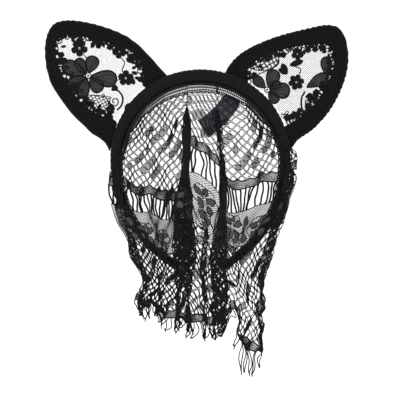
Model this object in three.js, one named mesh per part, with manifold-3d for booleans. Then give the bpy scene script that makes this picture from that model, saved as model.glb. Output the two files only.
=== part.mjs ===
// Animal ears headband with a lace veil, in millimetres.
// X runs to the right as seen from the front, Z is up and the front faces -Y.
// The origin is the middle of the crown, where the lining rests on the wearer's head.
// Left and right are as seen from the front.
import * as THREE from "three";
import { mergeVertices } from "three/addons/utils/BufferGeometryUtils.js";
import Module from "manifold-3d";

// ---- driving dimensions ----

// The band's centreline is three arcs: a half circle over the head and one limb on each side.
const CROWN_RADIUS = 68;
const LIMB_RADIUS = 97;
const LIMB_SWEEP = 60; // degrees of the limb arc from temple to tip
const BAND_THICKNESS = 11; // radial, at the crown
const BAND_DEPTH = 14; // front to back, at the crown
const BAND_CORNER = 3.6;
const TAPER_FROM = 50; // degrees from the top of the crown where the band starts to thin
const TIP_SCALE = 0.56; // size of the section at the tips against the crown

const FABRIC = 0.7; // the wrapped cover
const GAP = 0.3; // between touching pieces
const CORE_THICKNESS = 1.6;
const CORE_WIDTH = 8;
const LINING_THICKNESS = 0.55;
const LINING_WIDTH = 7;
const LINING_BACK = 0.7; // how far the lining sits behind the middle of the band
const HEADER_WIDTH = 2.6;
const HEADER_FRONT = 4.7; // how far the veil's header tape sits in front of the middle
const HEADER_REACH = 82; // degrees each side of the top that the veil is sewn to
const CAP_LENGTH = 9;
const CAP_WALL = 0.6;

// Each ear is a flat loop of wire bound in fabric, hinged on the line that touches the
// crown's outside at the ear's middle angle.
const EAR_FOLD_CLEARANCE = 0.9; // ear's lower edge above its fold line
const FOOT_CLEARANCE = 0.3; // top of the feet below the fold line
const EAR_FOLD_HEIGHT = 0.8; // fold line above the cover's outer surface
const BINDING_THICKNESS = 4.2;
const BINDING_GROOVE = 2.2; // inside height of the folded binding
const BINDING_EDGE = 2.2; // solid fold at the outer edge
const WIRE_RADIUS = 0.7;
const WIRE_INSET = BINDING_EDGE + GAP + WIRE_RADIUS;
const LACE_INSET = WIRE_INSET + WIRE_RADIUS + GAP;
const LACE_THICKNESS = 0.8;
const FOOT_THICKNESS = 5;
const FOOT_INNER_END = 14; // along the fold line from the ear's middle

// The veil hangs in front of the limbs and folds along a level line at the temples.
const VEIL_THICKNESS = 1.2;
const VEIL_TOP_Y = -4.9;
const VEIL_FOLD_Y = -8.4;
const VEIL_HEM_Y = -12;
const VEIL_FOLD_GAP = 0.5; // each side of the fold line
const VEIL_FOLD_DROP = 1; // the fold line below the temples

const LABEL_WIDTH = 16;
const LABEL_LENGTH = 36;
const LABEL_THICKNESS = 0.5;
const LABEL_FOLD_RADIUS = 1.6;
const LABEL_TILT = 40; // degrees from hanging straight down
const LABEL_TOP = [26.8, 2.6, -9.4]; // middle of its sewn end

const HALF_THICKNESS = BAND_THICKNESS / 2;
const HALF_DEPTH = BAND_DEPTH / 2;
const RING_Z = -(CROWN_RADIUS - HALF_THICKNESS - GAP - LINING_THICKNESS);
const COVER_RADIUS = CROWN_RADIUS + HALF_THICKNESS;
const FOLD_RADIUS = COVER_RADIUS + EAR_FOLD_HEIGHT;
const TEMPLE_GAP = THREE.MathUtils.radToDeg(GAP / 2 / CROWN_RADIUS);

// Each ear's outline and lace window run from its inner foot over the tip to its outer
// foot, as points (x, z) of a smooth curve.
const EARS = {
  left: {
    angle: 142,
    outline: [
      [-24, 4],
      [-33, 13.5],
      [-42, 23.9],
      [-58.4, 38],
      [-82, 47.5],
      [-106, 51.4],
      [-119.8, 46.5],
      [-125.2, 29],
      [-121.4, 3.6],
      [-107, -19.5],
      [-89.2, -38],
      [-78, -46],
      [-73, -54],
    ],
    window: [
      [-50, -14],
      [-46, 6],
      [-50, 20],
      [-62, 29.5],
      [-84, 35.5],
      [-103, 39.5],
      [-115, 36],
      [-115.5, 20],
      [-107.5, 1],
      [-96, -14.5],
      [-83, -24],
      [-69, -26.5],
      [-56, -22],
    ],
  },
  right: {
    angle: 41,
    outline: [
      [19, 8],
      [24.5, 17],
      [35.6, 27],
      [58.8, 37.5],
      [86.8, 45],
      [104, 47.6],
      [114.3, 42],
      [119, 24],
      [116, 3],
      [105.2, -19.6],
      [91, -36],
      [81, -44],
      [76, -53],
    ],
    window: [
      [42, -8],
      [38, 6],
      [40, 15],
      [54, 24],
      [74, 29.5],
      [92, 32],
      [104, 30],
      [107.5, 18],
      [103, 3],
      [94, -13],
      [82, -25],
      [73, -30],
      [60, -27],
    ],
  },
};

// Left and right edges of the hanging veil, as points (z, x) from the fold line down.
const VEIL_LEFT = [
  [-62, -66],
  [-92, -70],
  [-119, -62],
  [-150, -52],
  [-178, -51],
  [-236, -48],
];
const VEIL_RIGHT = [
  [-62, 76],
  [-91, 74.6],
  [-115, 64],
  [-150, 51],
  [-198, 51],
  [-236, 46],
];
// Its lower edge with the fringe, as points (share of the width, z).
const VEIL_HEM = [
  [0, -176],
  [0.2, -194],
  [0.5, -201],
  [0.7, -202],
  [0.78, -222],
  [1, -236],
];

// ---- materials ----

const finish = (color, roughness, metalness = 0) =>
  new THREE.MeshStandardMaterial({ color, roughness, metalness });

const coverFabric = () => finish(0x17141d, 0.82);
const bindingFabric = () => finish(0x131116, 0.9);
const lace = () => finish(0x201f22, 0.85);
const ribbon = () => finish(0x1b1922, 0.6);
const satinLabel = () => finish(0x55506c, 0.45);
const springSteel = () => finish(0x8b8e93, 0.35, 0.9);
const wadding = () => finish(0x2c2a2e, 0.95);
const wire = () => finish(0x9a9c9f, 0.4, 0.9);

// ---- solids: joining and cutting ----

const library = await Module();
library.setup();

function toSolid(geometry) {
  const bare = geometry.clone();
  bare.deleteAttribute("normal");
  bare.deleteAttribute("uv");
  const merged = mergeVertices(bare, 1e-4);
  return new library.Manifold(
    new library.Mesh({
      numProp: 3,
      vertProperties: new Float32Array(merged.attributes.position.array),
      triVerts: new Uint32Array(merged.index.array),
    }),
  );
}

function toGeometry(solid) {
  const { vertProperties, triVerts } = solid.getMesh();
  const geometry = new THREE.BufferGeometry();
  geometry.setAttribute("position", new THREE.BufferAttribute(vertProperties, 3));
  geometry.setIndex(new THREE.BufferAttribute(triVerts, 1));
  return geometry;
}

const model = new THREE.Group();

function addMesh(name, geometry, material) {
  const mesh = new THREE.Mesh(geometry, material);
  mesh.name = name;
  model.add(mesh);
}

// ---- the band ----

// Share of full size that the band's section has at an angle from +X, up over the crown.
function taper(angle) {
  const last = 90 + LIMB_SWEEP;
  const along = (Math.abs(angle - 90) - TAPER_FROM) / (last - TAPER_FROM);
  return 1 - (1 - TIP_SCALE) * THREE.MathUtils.clamp(along, 0, 1);
}

// The point on the centreline at an angle, and the outward direction there.
function onRing(angle) {
  const onLimb = angle < 0 || angle > 180;
  const radius = onLimb ? LIMB_RADIUS : CROWN_RADIUS;
  const shift = onLimb ? (LIMB_RADIUS - CROWN_RADIUS) * (angle > 180 ? 1 : -1) : 0;
  const turn = THREE.MathUtils.degToRad(angle);
  const out = new THREE.Vector3(Math.cos(turn), 0, Math.sin(turn));
  const point = new THREE.Vector3(shift, 0, RING_Z).addScaledVector(out, radius);
  return { point, out };
}

// A flat section, drawn as (outward, backward), swept along the ring. The section is
// scaled by the band's taper and by an optional end shape.
function sweep(section, from, to, steps, endScale = () => 1) {
  const options = { depth: 1, steps, bevelEnabled: false, curveSegments: 1 };
  const geometry = new THREE.ExtrudeGeometry(section, options);
  const position = geometry.attributes.position;
  const v = new THREE.Vector3();
  for (let i = 0; i < position.count; i++) {
    v.fromBufferAttribute(position, i);
    const angle = from + (to - from) * v.z;
    const { point, out } = onRing(angle);
    const scale = taper(angle) * endScale(v.z);
    point.addScaledVector(out, v.x * scale);
    position.setXYZ(i, point.x, v.y * scale, point.z);
  }
  return geometry;
}

function softRectangle(shape, thickness, depth, corner) {
  const x = thickness / 2 - corner;
  const y = depth / 2 - corner;
  const quarter = Math.PI / 2;
  const centres = [
    [x, y],
    [-x, y],
    [-x, -y],
    [x, -y],
  ];
  centres.forEach(([cx, cy], i) =>
    shape.absarc(cx, cy, corner, i * quarter, (i + 1) * quarter, false),
  );
  return shape;
}

function rectangle(shape, x0, x1, y0, y1) {
  shape.moveTo(x0, y0);
  shape.lineTo(x1, y0);
  shape.lineTo(x1, y1);
  shape.lineTo(x0, y1);
  shape.closePath();
  return shape;
}

// A soft rectangle drawn a given distance inside the band's outer surface.
const bandOutline = (shape, inset) =>
  softRectangle(
    shape,
    BAND_THICKNESS - 2 * inset,
    BAND_DEPTH - 2 * inset,
    BAND_CORNER - inset,
  );

const coverSection = bandOutline(new THREE.Shape(), 0);
coverSection.holes.push(bandOutline(new THREE.Path(), FABRIC));

const paddingSection = bandOutline(new THREE.Shape(), FABRIC + GAP);
const slotX = CORE_THICKNESS / 2 + GAP;
const slotY = CORE_WIDTH / 2 + GAP;
paddingSection.holes.push(rectangle(new THREE.Path(), -slotX, slotX, -slotY, slotY));

const coreSection = rectangle(
  new THREE.Shape(),
  -CORE_THICKNESS / 2,
  CORE_THICKNESS / 2,
  -CORE_WIDTH / 2,
  CORE_WIDTH / 2,
);

const innerFace = -HALF_THICKNESS - GAP;
const liningSection = rectangle(
  new THREE.Shape(),
  innerFace - LINING_THICKNESS,
  innerFace,
  LINING_BACK - LINING_WIDTH / 2,
  LINING_BACK + LINING_WIDTH / 2,
);
const headerSection = rectangle(
  new THREE.Shape(),
  innerFace - LINING_THICKNESS,
  innerFace,
  -HEADER_FRONT - HEADER_WIDTH / 2,
  -HEADER_FRONT + HEADER_WIDTH / 2,
);

const CROWN_STEPS = 26;
const LIMB_STEPS = 9;
const CROWN_SPAN = [TEMPLE_GAP, 180 - TEMPLE_GAP];
const LIMB_SPANS = {
  right: [-LIMB_SWEEP, -TEMPLE_GAP],
  left: [180 + TEMPLE_GAP, 180 + LIMB_SWEEP],
};

// ---- the ears ----

// Directions of one ear: up away from the head, and along its fold line.
function earFrame(angle) {
  const turn = THREE.MathUtils.degToRad(angle);
  const up = new THREE.Vector3(Math.cos(turn), 0, Math.sin(turn));
  const along = new THREE.Vector3(-Math.sin(turn), 0, Math.cos(turn));
  return { up, along, centre: new THREE.Vector3(0, 0, RING_Z) };
}

const OUTLINE_POINTS = 44;

function smoothPoints(points) {
  const curve = new THREE.SplineCurve(points.map(([x, z]) => new THREE.Vector2(x, z)));
  return curve.getSpacedPoints(OUTLINE_POINTS);
}

// Moves each point of an open outline sideways, towards the ear's inside.
function insetPoints(points, distance, side) {
  return points.map((p, i) => {
    const before = points[Math.max(i - 1, 0)];
    const after = points[Math.min(i + 1, points.length - 1)];
    const run = after.clone().sub(before).normalize();
    return new THREE.Vector2(p.x - run.y * distance * side, p.y + run.x * distance * side);
  });
}

// A plate of the given thickness in the XZ plane, centred on Y = 0.
function plate(points, thickness) {
  const options = { depth: thickness, steps: 1, bevelEnabled: false };
  const geometry = new THREE.ExtrudeGeometry(new THREE.Shape(points), options);
  geometry.rotateX(Math.PI / 2);
  geometry.translate(0, thickness / 2, 0);
  return toSolid(geometry);
}

const CUTTER = 400;

// A large block that fills the space beyond a distance from the ring's centre along a
// direction in the XZ plane.
function beyond(direction, distance) {
  const block = new THREE.BoxGeometry(CUTTER, CUTTER, CUTTER);
  block.translate(distance + CUTTER / 2, 0, 0);
  block.rotateY(-Math.atan2(direction.z, direction.x));
  block.translate(0, 0, RING_Z);
  return toSolid(block);
}

function cylinderY(radius, length, sides) {
  const geometry = new THREE.CylinderGeometry(radius, radius, length, sides);
  geometry.translate(0, 0, RING_Z);
  return geometry;
}

function tubeAlong(points, radius, sides, steps) {
  const section = new THREE.Shape().absarc(0, 0, radius, 0, 2 * Math.PI);
  const path = new THREE.CatmullRomCurve3(points.map((p) => new THREE.Vector3(p.x, 0, p.y)));
  const options = { extrudePath: path, steps, bevelEnabled: false, curveSegments: sides };
  return toSolid(new THREE.ExtrudeGeometry(section, options));
}

// A straight round rod between two points.
function rod(from, to, radius, sides) {
  const geometry = new THREE.CylinderGeometry(radius, radius, from.distanceTo(to), sides);
  const direction = to.clone().sub(from).normalize();
  const upright = new THREE.Vector3(0, 1, 0);
  geometry.applyQuaternion(new THREE.Quaternion().setFromUnitVectors(upright, direction));
  const middle = from.clone().add(to).multiplyScalar(0.5);
  geometry.translate(middle.x, middle.y, middle.z);
  return toSolid(geometry);
}

const WIRE_SIDES = 8;
const coreTop = CROWN_RADIUS + CORE_THICKNESS / 2 + GAP;
const legHoles = [];

function addEar(name, ear) {
  const { up, along, centre } = earFrame(ear.angle);
  const side = name === "left" ? 1 : -1;
  const outline = smoothPoints(ear.outline);
  const aboveFold = beyond(up, FOLD_RADIUS + EAR_FOLD_CLEARANCE);
  const outsideFeet = beyond(up, FOLD_RADIUS - FOOT_CLEARANCE);

  const window = plate(smoothPoints(ear.window), 2 * BINDING_THICKNESS);
  const groove = plate(insetPoints(outline, BINDING_EDGE, side), BINDING_GROOVE);
  const binding = plate(outline, BINDING_THICKNESS)
    .subtract(window)
    .subtract(groove)
    .intersect(aboveFold);
  addMesh(`ear_binding_${name}`, toGeometry(binding), bindingFabric());

  const wirePoints = insetPoints(outline, WIRE_INSET, side);
  const loop = tubeAlong(wirePoints, WIRE_RADIUS, WIRE_SIDES / 2, OUTLINE_POINTS);
  addMesh(`ear_wire_${name}`, toGeometry(loop.intersect(aboveFold)), wire());

  const panel = plate(insetPoints(outline, LACE_INSET, side), LACE_THICKNESS);
  addMesh(`ear_lace_${name}`, toGeometry(panel.intersect(aboveFold)), lace());

  // The feet carry the ear's edges down to the band, each round one leg of the wire.
  const clearOfBand = toSolid(cylinderY(COVER_RADIUS + GAP, CUTTER, 120));
  const base = plate(outline, FOOT_THICKNESS).subtract(outsideFeet).subtract(clearOfBand);
  const height = (p) => (p.x - centre.x) * up.x + (p.y - centre.z) * up.z;
  const offset = (p) => (p.x - centre.x) * along.x + (p.y - centre.z) * along.z;
  for (const [end, sign] of [
    ["inner", -side],
    ["outer", side],
  ]) {
    const direction = along.clone().multiplyScalar(sign);
    const crossing = wirePoints
      .filter((p) => Math.sign(offset(p)) === sign)
      .reduce((best, p) =>
        Math.abs(height(p) - FOLD_RADIUS) < Math.abs(height(best) - FOLD_RADIUS) ? p : best,
      );
    const top = new THREE.Vector3(crossing.x, 0, crossing.y);
    const out = top.clone().sub(centre).normalize();
    const bottom = centre.clone().addScaledVector(out, coreTop);
    const hole = rod(bottom, top.clone().addScaledVector(out, 5), WIRE_RADIUS + GAP, WIRE_SIDES);
    legHoles.push(hole);
    const leg = rod(bottom, top, WIRE_RADIUS, WIRE_SIDES).subtract(outsideFeet);
    addMesh(`wire_leg_${name}_${end}`, toGeometry(leg), wire());
    const foot = base.intersect(beyond(direction, FOOT_INNER_END)).subtract(hole);
    addMesh(`ear_foot_${name}_${end}`, toGeometry(foot), bindingFabric());
  }
}

Object.entries(EARS).forEach(([name, ear]) => addEar(name, ear));

// ---- the band's pieces ----

function drilled(geometry) {
  return toGeometry(legHoles.reduce((solid, hole) => solid.subtract(hole), toSolid(geometry)));
}

addMesh("band_core_crown", sweep(coreSection, ...CROWN_SPAN, CROWN_STEPS), springSteel());
addMesh(
  "band_padding_crown",
  drilled(sweep(paddingSection, ...CROWN_SPAN, CROWN_STEPS)),
  wadding(),
);
addMesh(
  "band_cover_crown",
  drilled(sweep(coverSection, ...CROWN_SPAN, CROWN_STEPS)),
  coverFabric(),
);
addMesh("band_lining_crown", sweep(liningSection, ...CROWN_SPAN, CROWN_STEPS), ribbon());
addMesh(
  "veil_header_tape",
  sweep(headerSection, 90 - HEADER_REACH, 90 + HEADER_REACH, CROWN_STEPS),
  ribbon(),
);

// Rounds off the closed end of a tip cap: 0 is the open end and 1 the rounded one.
function domed(share) {
  const round = 0.55;
  const past = THREE.MathUtils.clamp((share - round) / (1 - round), 0, 1);
  return Math.sqrt(1 - 0.86 * past * past);
}

const capAngle = THREE.MathUtils.radToDeg(CAP_LENGTH / LIMB_RADIUS);
const capOverlap = 0.62; // share of the cap's length that sits over the cover

function tipCap(endAngle, direction) {
  const capStart = endAngle - direction * capAngle * capOverlap;
  const capEnd = capStart + direction * capAngle;
  const outer = bandOutline(new THREE.Shape(), -GAP - CAP_WALL);
  const inner = bandOutline(new THREE.Shape(), -GAP);
  const [from, to] = direction > 0 ? [capStart, capEnd] : [capEnd, capStart];
  const shape = direction > 0 ? domed : (share) => domed(1 - share);
  const shell = toSolid(sweep(outer, from, to, 8, shape));
  const pocketEnd = endAngle + (direction * capAngle * GAP) / CAP_LENGTH;
  const pocketStart = capStart - direction;
  const pocket = sweep(
    inner,
    Math.min(pocketStart, pocketEnd),
    Math.max(pocketStart, pocketEnd),
    4,
  );
  return toGeometry(shell.subtract(toSolid(pocket)));
}

for (const [name, span] of Object.entries(LIMB_SPANS)) {
  const liningSpan =
    name === "right" ? [span[0] + capAngle, span[1]] : [span[0], span[1] - capAngle];
  addMesh(`band_core_${name}`, sweep(coreSection, ...span, LIMB_STEPS), springSteel());
  addMesh(`band_padding_${name}`, sweep(paddingSection, ...span, LIMB_STEPS), wadding());
  addMesh(`band_cover_${name}`, sweep(coverSection, ...span, LIMB_STEPS), coverFabric());
  addMesh(`band_lining_${name}`, sweep(liningSection, ...liningSpan, LIMB_STEPS), ribbon());
}
addMesh("tip_cap_right", tipCap(-LIMB_SWEEP, -1), coverFabric());
addMesh("tip_cap_left", tipCap(180 + LIMB_SWEEP, 1), coverFabric());

// ---- the veil ----

// A straight-line reading of a list of (position, value) pairs, smoothed between them.
function along(pairs, at) {
  const rising = pairs[0][0] < pairs[pairs.length - 1][0];
  const list = rising ? pairs : [...pairs].reverse();
  if (at <= list[0][0]) return list[0][1];
  for (let i = 1; i < list.length; i++) {
    const [a, va] = list[i - 1];
    const [b, vb] = list[i];
    if (at <= b) return va + (vb - va) * THREE.MathUtils.smoothstep(at, a, b);
  }
  return list[list.length - 1][1];
}

const FOLD_Z = RING_Z - VEIL_FOLD_DROP;

// A sheet of cloth: a thin box with a grid on its faces, each point placed by a function
// of its share across, its share down and its side, which is 0 in front and 1 behind.
function cloth(across, down, place) {
  const geometry = new THREE.BoxGeometry(1, 1, 1, across, 1, down);
  const position = geometry.attributes.position;
  for (let i = 0; i < position.count; i++) {
    const u = position.getX(i) + 0.5;
    const v = 0.5 - position.getZ(i);
    const p = place(u, v);
    p.y += position.getY(i) * VEIL_THICKNESS;
    position.setXYZ(i, p.x, p.y, p.z);
  }
  return geometry;
}

function upperVeil(u, v) {
  const angle = 90 + HEADER_REACH * (1 - 2 * u);
  const { point, out } = onRing(angle);
  const edge = innerFace - LINING_THICKNESS - GAP;
  point.addScaledVector(out, edge * taper(angle));
  const lastZ = FOLD_Z + VEIL_FOLD_GAP;
  const share = (point.z - lastZ) / -lastZ;
  const z = THREE.MathUtils.lerp(point.z, lastZ, v);
  const drop = THREE.MathUtils.clamp(z / lastZ, 0, 1);
  const y = THREE.MathUtils.lerp(VEIL_TOP_Y, VEIL_FOLD_Y, drop);
  return new THREE.Vector3(point.x * (1 + 0.02 * v * share), y, z);
}

const VEIL_FOLDS = [0.37, 0.6]; // heavy pleats, as shares of the width
const PLEAT_RISE = 5;
const PLEAT_WIDTH = 0.05;

function lowerVeil(u, v) {
  const z = THREE.MathUtils.lerp(FOLD_Z - VEIL_FOLD_GAP, along(VEIL_HEM, u), v);
  const x = THREE.MathUtils.lerp(along(VEIL_LEFT, z), along(VEIL_RIGHT, z), u);
  const pleats = VEIL_FOLDS.map((at) => Math.exp(-(((u - at) / PLEAT_WIDTH) ** 2)));
  const rise = PLEAT_RISE * Math.sqrt(v) * (pleats[0] + pleats[1]);
  return new THREE.Vector3(x, THREE.MathUtils.lerp(VEIL_FOLD_Y, VEIL_HEM_Y, v) - rise, z);
}

addMesh("veil_upper", cloth(24, 5, upperVeil), lace());
addMesh("veil_lower", cloth(32, 8, lowerVeil), lace());

// ---- the blank label, folded double ----

function foldedLabel() {
  const t = LABEL_THICKNESS;
  const r = LABEL_FOLD_RADIUS;
  const end = -LABEL_LENGTH + r;
  const profile = new THREE.Shape();
  profile.moveTo(-r, 0);
  profile.lineTo(-r, end);
  profile.absarc(0, end, r, Math.PI, 2 * Math.PI, false);
  profile.lineTo(r, 0);
  profile.lineTo(r - t, 0);
  profile.lineTo(r - t, end);
  profile.absarc(0, end, r - t, 2 * Math.PI, Math.PI, true);
  profile.lineTo(-r + t, 0);
  profile.closePath();
  const options = { depth: LABEL_WIDTH, steps: 1, bevelEnabled: false, curveSegments: 6 };
  const geometry = new THREE.ExtrudeGeometry(profile, options);
  // The profile's plane becomes YZ and its extrusion runs along X.
  geometry.translate(0, 0, -LABEL_WIDTH / 2);
  geometry.rotateX(Math.PI / 2);
  geometry.rotateZ(Math.PI / 2);
  geometry.rotateY(THREE.MathUtils.degToRad(LABEL_TILT));
  geometry.translate(...LABEL_TOP);
  return geometry;
}

addMesh("blank_label", foldedLabel(), satinLabel());

export default model;
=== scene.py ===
"""Animal ears headband with a lace veil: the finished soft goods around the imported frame.

Shapes are worked out in millimetres, in the frame's axes, and become metres when a mesh is made.
Left and right are as seen from the front, which faces -Y.
"""

import math

import bpy
import numpy as np
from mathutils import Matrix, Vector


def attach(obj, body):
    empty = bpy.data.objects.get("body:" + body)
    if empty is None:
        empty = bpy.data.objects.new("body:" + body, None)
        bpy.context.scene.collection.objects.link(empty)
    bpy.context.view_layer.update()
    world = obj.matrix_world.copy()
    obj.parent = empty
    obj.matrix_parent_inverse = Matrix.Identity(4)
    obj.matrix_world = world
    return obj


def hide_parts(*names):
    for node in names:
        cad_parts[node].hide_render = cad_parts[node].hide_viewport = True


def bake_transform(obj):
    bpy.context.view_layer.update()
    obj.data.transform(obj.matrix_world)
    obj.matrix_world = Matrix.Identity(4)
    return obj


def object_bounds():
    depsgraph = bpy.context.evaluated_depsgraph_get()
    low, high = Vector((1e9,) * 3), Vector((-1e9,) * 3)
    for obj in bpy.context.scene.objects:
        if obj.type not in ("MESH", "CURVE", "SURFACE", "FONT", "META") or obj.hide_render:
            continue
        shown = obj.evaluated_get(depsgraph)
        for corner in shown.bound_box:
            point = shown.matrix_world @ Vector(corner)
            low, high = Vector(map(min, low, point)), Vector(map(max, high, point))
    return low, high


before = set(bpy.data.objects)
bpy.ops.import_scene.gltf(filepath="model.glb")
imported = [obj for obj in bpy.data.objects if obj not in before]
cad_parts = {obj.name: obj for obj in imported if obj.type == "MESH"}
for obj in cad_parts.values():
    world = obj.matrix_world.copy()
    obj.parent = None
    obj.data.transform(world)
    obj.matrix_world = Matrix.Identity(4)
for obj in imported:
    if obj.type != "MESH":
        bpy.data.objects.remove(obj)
cad_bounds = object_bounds()

MM = 0.001

# ---- driving dimensions, in millimetres, as in the part's source ----

CROWN_RADIUS = 68.0
LIMB_RADIUS = 97.0
LIMB_SWEEP = 60.0
HALF_THICKNESS = 5.5
HALF_DEPTH = 7.0
TAPER_FROM = 50.0
TIP_SCALE = 0.56
COVER_THICKNESS = 0.7
GAP = 0.3
LINING_THICKNESS = 0.55
RING_Z = -(CROWN_RADIUS - HALF_THICKNESS - GAP - LINING_THICKNESS)
COVER_RADIUS = CROWN_RADIUS + HALF_THICKNESS
CAP_LENGTH = 9.0
CAP_OVERLAP = 0.62
BINDING_HALF = 2.1


# ---- camera, light and floor ----

VIEW_WIDTH = 320.0
VIEW_CENTRE = (-0.4, -5.0, -93.2)
LENS = 100.0
SENSOR = 36.0
FLOOR_DROP = 14.0
# Lights and the floor are laid out in metres: each lamp's place, size and power.
LAMPS = {
    "key": ((-0.5, -0.75, 0.55), 0.5, 3),
    "fill": ((0.7, -0.6, 0.1), 0.6, 1.2),
    "back": ((0.2, 0.7, 0.5), 0.6, 2),
}
LAMP_AIM = (0, 0, -0.08)
SKY_STRENGTH = 1.12
FLOOR_HALF = 6.0


def make_camera():
    data = bpy.data.cameras.new("camera")
    data.lens = LENS
    data.sensor_width = SENSOR
    camera = bpy.data.objects.new("camera", data)
    distance = VIEW_WIDTH * LENS / SENSOR
    x, y, z = VIEW_CENTRE
    camera.location = (x * MM, (y - distance) * MM, z * MM)
    camera.rotation_euler = (math.radians(90), 0, 0)
    bpy.context.scene.collection.objects.link(camera)
    bpy.context.scene.camera = camera


def area_light(name, place, size, power):
    data = bpy.data.lights.new(name, "AREA")
    data.size = size
    data.energy = power
    lamp = bpy.data.objects.new(name, data)
    lamp.location = place
    direction = np.array(LAMP_AIM) - np.array(place)
    yaw = math.atan2(direction[0], -direction[1])
    pitch = math.atan2(math.hypot(direction[0], direction[1]), -direction[2])
    lamp.rotation_euler = (pitch, 0, yaw + math.pi)
    bpy.context.scene.collection.objects.link(lamp)


def make_light():
    world = bpy.data.worlds.new("studio")
    world.use_nodes = True
    background = world.node_tree.nodes["Background"]
    background.inputs["Color"].default_value = (1, 1, 1, 1)
    background.inputs["Strength"].default_value = SKY_STRENGTH
    bpy.context.scene.world = world
    for name, lamp in LAMPS.items():
        area_light(name, *lamp)
    bpy.context.scene.view_settings.view_transform = "Standard"


def make_floor():
    level = cad_bounds[0].z - FLOOR_DROP * MM
    mesh = bpy.data.meshes.new("floor")
    signs = ((-1, -1), (1, -1), (1, 1), (-1, 1))
    corners = [(x * FLOOR_HALF, y * FLOOR_HALF, level) for x, y in signs]
    mesh.from_pydata(corners, [], [(0, 1, 2, 3)])
    floor = bpy.data.objects.new("floor", mesh)
    material = new_material("floor_paper", roughness=0.95)
    tone = noise(material, scale=3.0, detail=3.0)
    base_colour(material, tone, (0.93, 0.93, 0.93), (0.97, 0.97, 0.97))
    mesh.materials.append(material)
    bpy.context.scene.collection.objects.link(floor)


# ---- materials ----


def new_material(name, roughness=0.8, metallic=0.0, sheen=0.0, sheen_roughness=0.5, specular=0.5):
    material = bpy.data.materials.new(name)
    material.use_nodes = True
    shader = material.node_tree.nodes["Principled BSDF"]
    shader.inputs["Roughness"].default_value = roughness
    shader.inputs["Metallic"].default_value = metallic
    shader.inputs["Sheen Weight"].default_value = sheen
    shader.inputs["Sheen Roughness"].default_value = sheen_roughness
    shader.inputs["Specular IOR Level"].default_value = specular
    return material


def add_node(material, kind, **settings):
    """A new shader node with its settings, by name."""
    node = material.node_tree.nodes.new(kind)
    for name, value in settings.items():
        setattr(node, name, value)
    return node


def link(material, source, target):
    material.node_tree.links.new(source, target)


def shader_of(material):
    return material.node_tree.nodes["Principled BSDF"]


def place_nodes(material, stretch=(1, 1, 1), turn=(0, 0, 0)):
    """Coordinates in the piece's own frame, turned and stretched."""
    where = add_node(material, "ShaderNodeTexCoord")
    mapping = add_node(material, "ShaderNodeMapping")
    mapping.inputs["Scale"].default_value = stretch
    mapping.inputs["Rotation"].default_value = turn
    link(material, where.outputs["Object"], mapping.inputs["Vector"])
    return mapping.outputs["Vector"]


def noise(material, scale, detail=2.0, stretch=(1, 1, 1)):
    node = add_node(material, "ShaderNodeTexNoise")
    node.inputs["Scale"].default_value = scale
    node.inputs["Detail"].default_value = detail
    link(material, place_nodes(material, stretch), node.inputs["Vector"])
    return node.outputs["Fac"]


def wave(material, pitch, distortion, turn=(0, 0, 0)):
    """Bands of the given pitch in millimetres, across X after the turn."""
    node = add_node(material, "ShaderNodeTexWave", wave_type="BANDS", bands_direction="X")
    # A wave texture of scale s repeats every pi / (10 s) metres.
    node.inputs["Scale"].default_value = math.pi / 10 / (pitch * MM)
    node.inputs["Distortion"].default_value = distortion
    node.inputs["Detail Scale"].default_value = 2.0
    link(material, place_nodes(material, turn=turn), node.inputs["Vector"])
    return node.outputs["Fac"]


def combine(material, operation, a, b):
    """The sum, product or other result of two values, each a number or a node's output."""
    node = add_node(material, "ShaderNodeMath", operation=operation)
    for socket, value in zip(node.inputs, (a, b)):
        if isinstance(value, (int, float)):
            socket.default_value = value
        else:
            link(material, value, socket)
    return node.outputs["Value"]


def base_colour(material, factor, low, high, edges=(0.3, 0.7)):
    """A base colour that runs from low to high as the factor passes between the edges."""
    ramp = add_node(material, "ShaderNodeValToRGB")
    ramp.color_ramp.elements[0].position, ramp.color_ramp.elements[1].position = edges
    ramp.color_ramp.elements[0].color = (*low, 1)
    ramp.color_ramp.elements[1].color = (*high, 1)
    link(material, factor, ramp.inputs["Fac"])
    link(material, ramp.outputs["Color"], shader_of(material).inputs["Base Color"])


def roughness_between(material, factor, low, high):
    node = add_node(material, "ShaderNodeMapRange")
    node.inputs["To Min"].default_value = low
    node.inputs["To Max"].default_value = high
    link(material, factor, node.inputs["Value"])
    link(material, node.outputs["Result"], shader_of(material).inputs["Roughness"])


def bump(material, height, strength, distance):
    """Relief whose depth is the distance, in millimetres."""
    node = add_node(material, "ShaderNodeBump")
    node.inputs["Strength"].default_value = strength
    node.inputs["Distance"].default_value = distance * MM
    link(material, height, node.inputs["Height"])
    link(material, node.outputs["Normal"], shader_of(material).inputs["Normal"])


QUARTER = math.pi / 4


def woven(name, low, high, pitch, relief, roughness, sheen, specular):
    """Cloth with crossing threads of one pitch, soft sheen and uneven dye."""
    material = new_material(name, roughness, sheen=sheen, specular=specular)
    warp = wave(material, pitch, turn=(0, QUARTER, 0), distortion=0.6)
    weft = wave(material, pitch, turn=(0, -QUARTER, QUARTER), distortion=0.6)
    weave = combine(material, "MULTIPLY", warp, weft)
    dye = noise(material, scale=140.0, detail=4.0)
    base_colour(material, combine(material, "ADD", weave, dye), low, high, (0.4, 1.3))
    roughness_between(material, dye, roughness - 0.1, roughness + 0.1)
    bump(material, weave, 0.7, relief)
    return material


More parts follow.
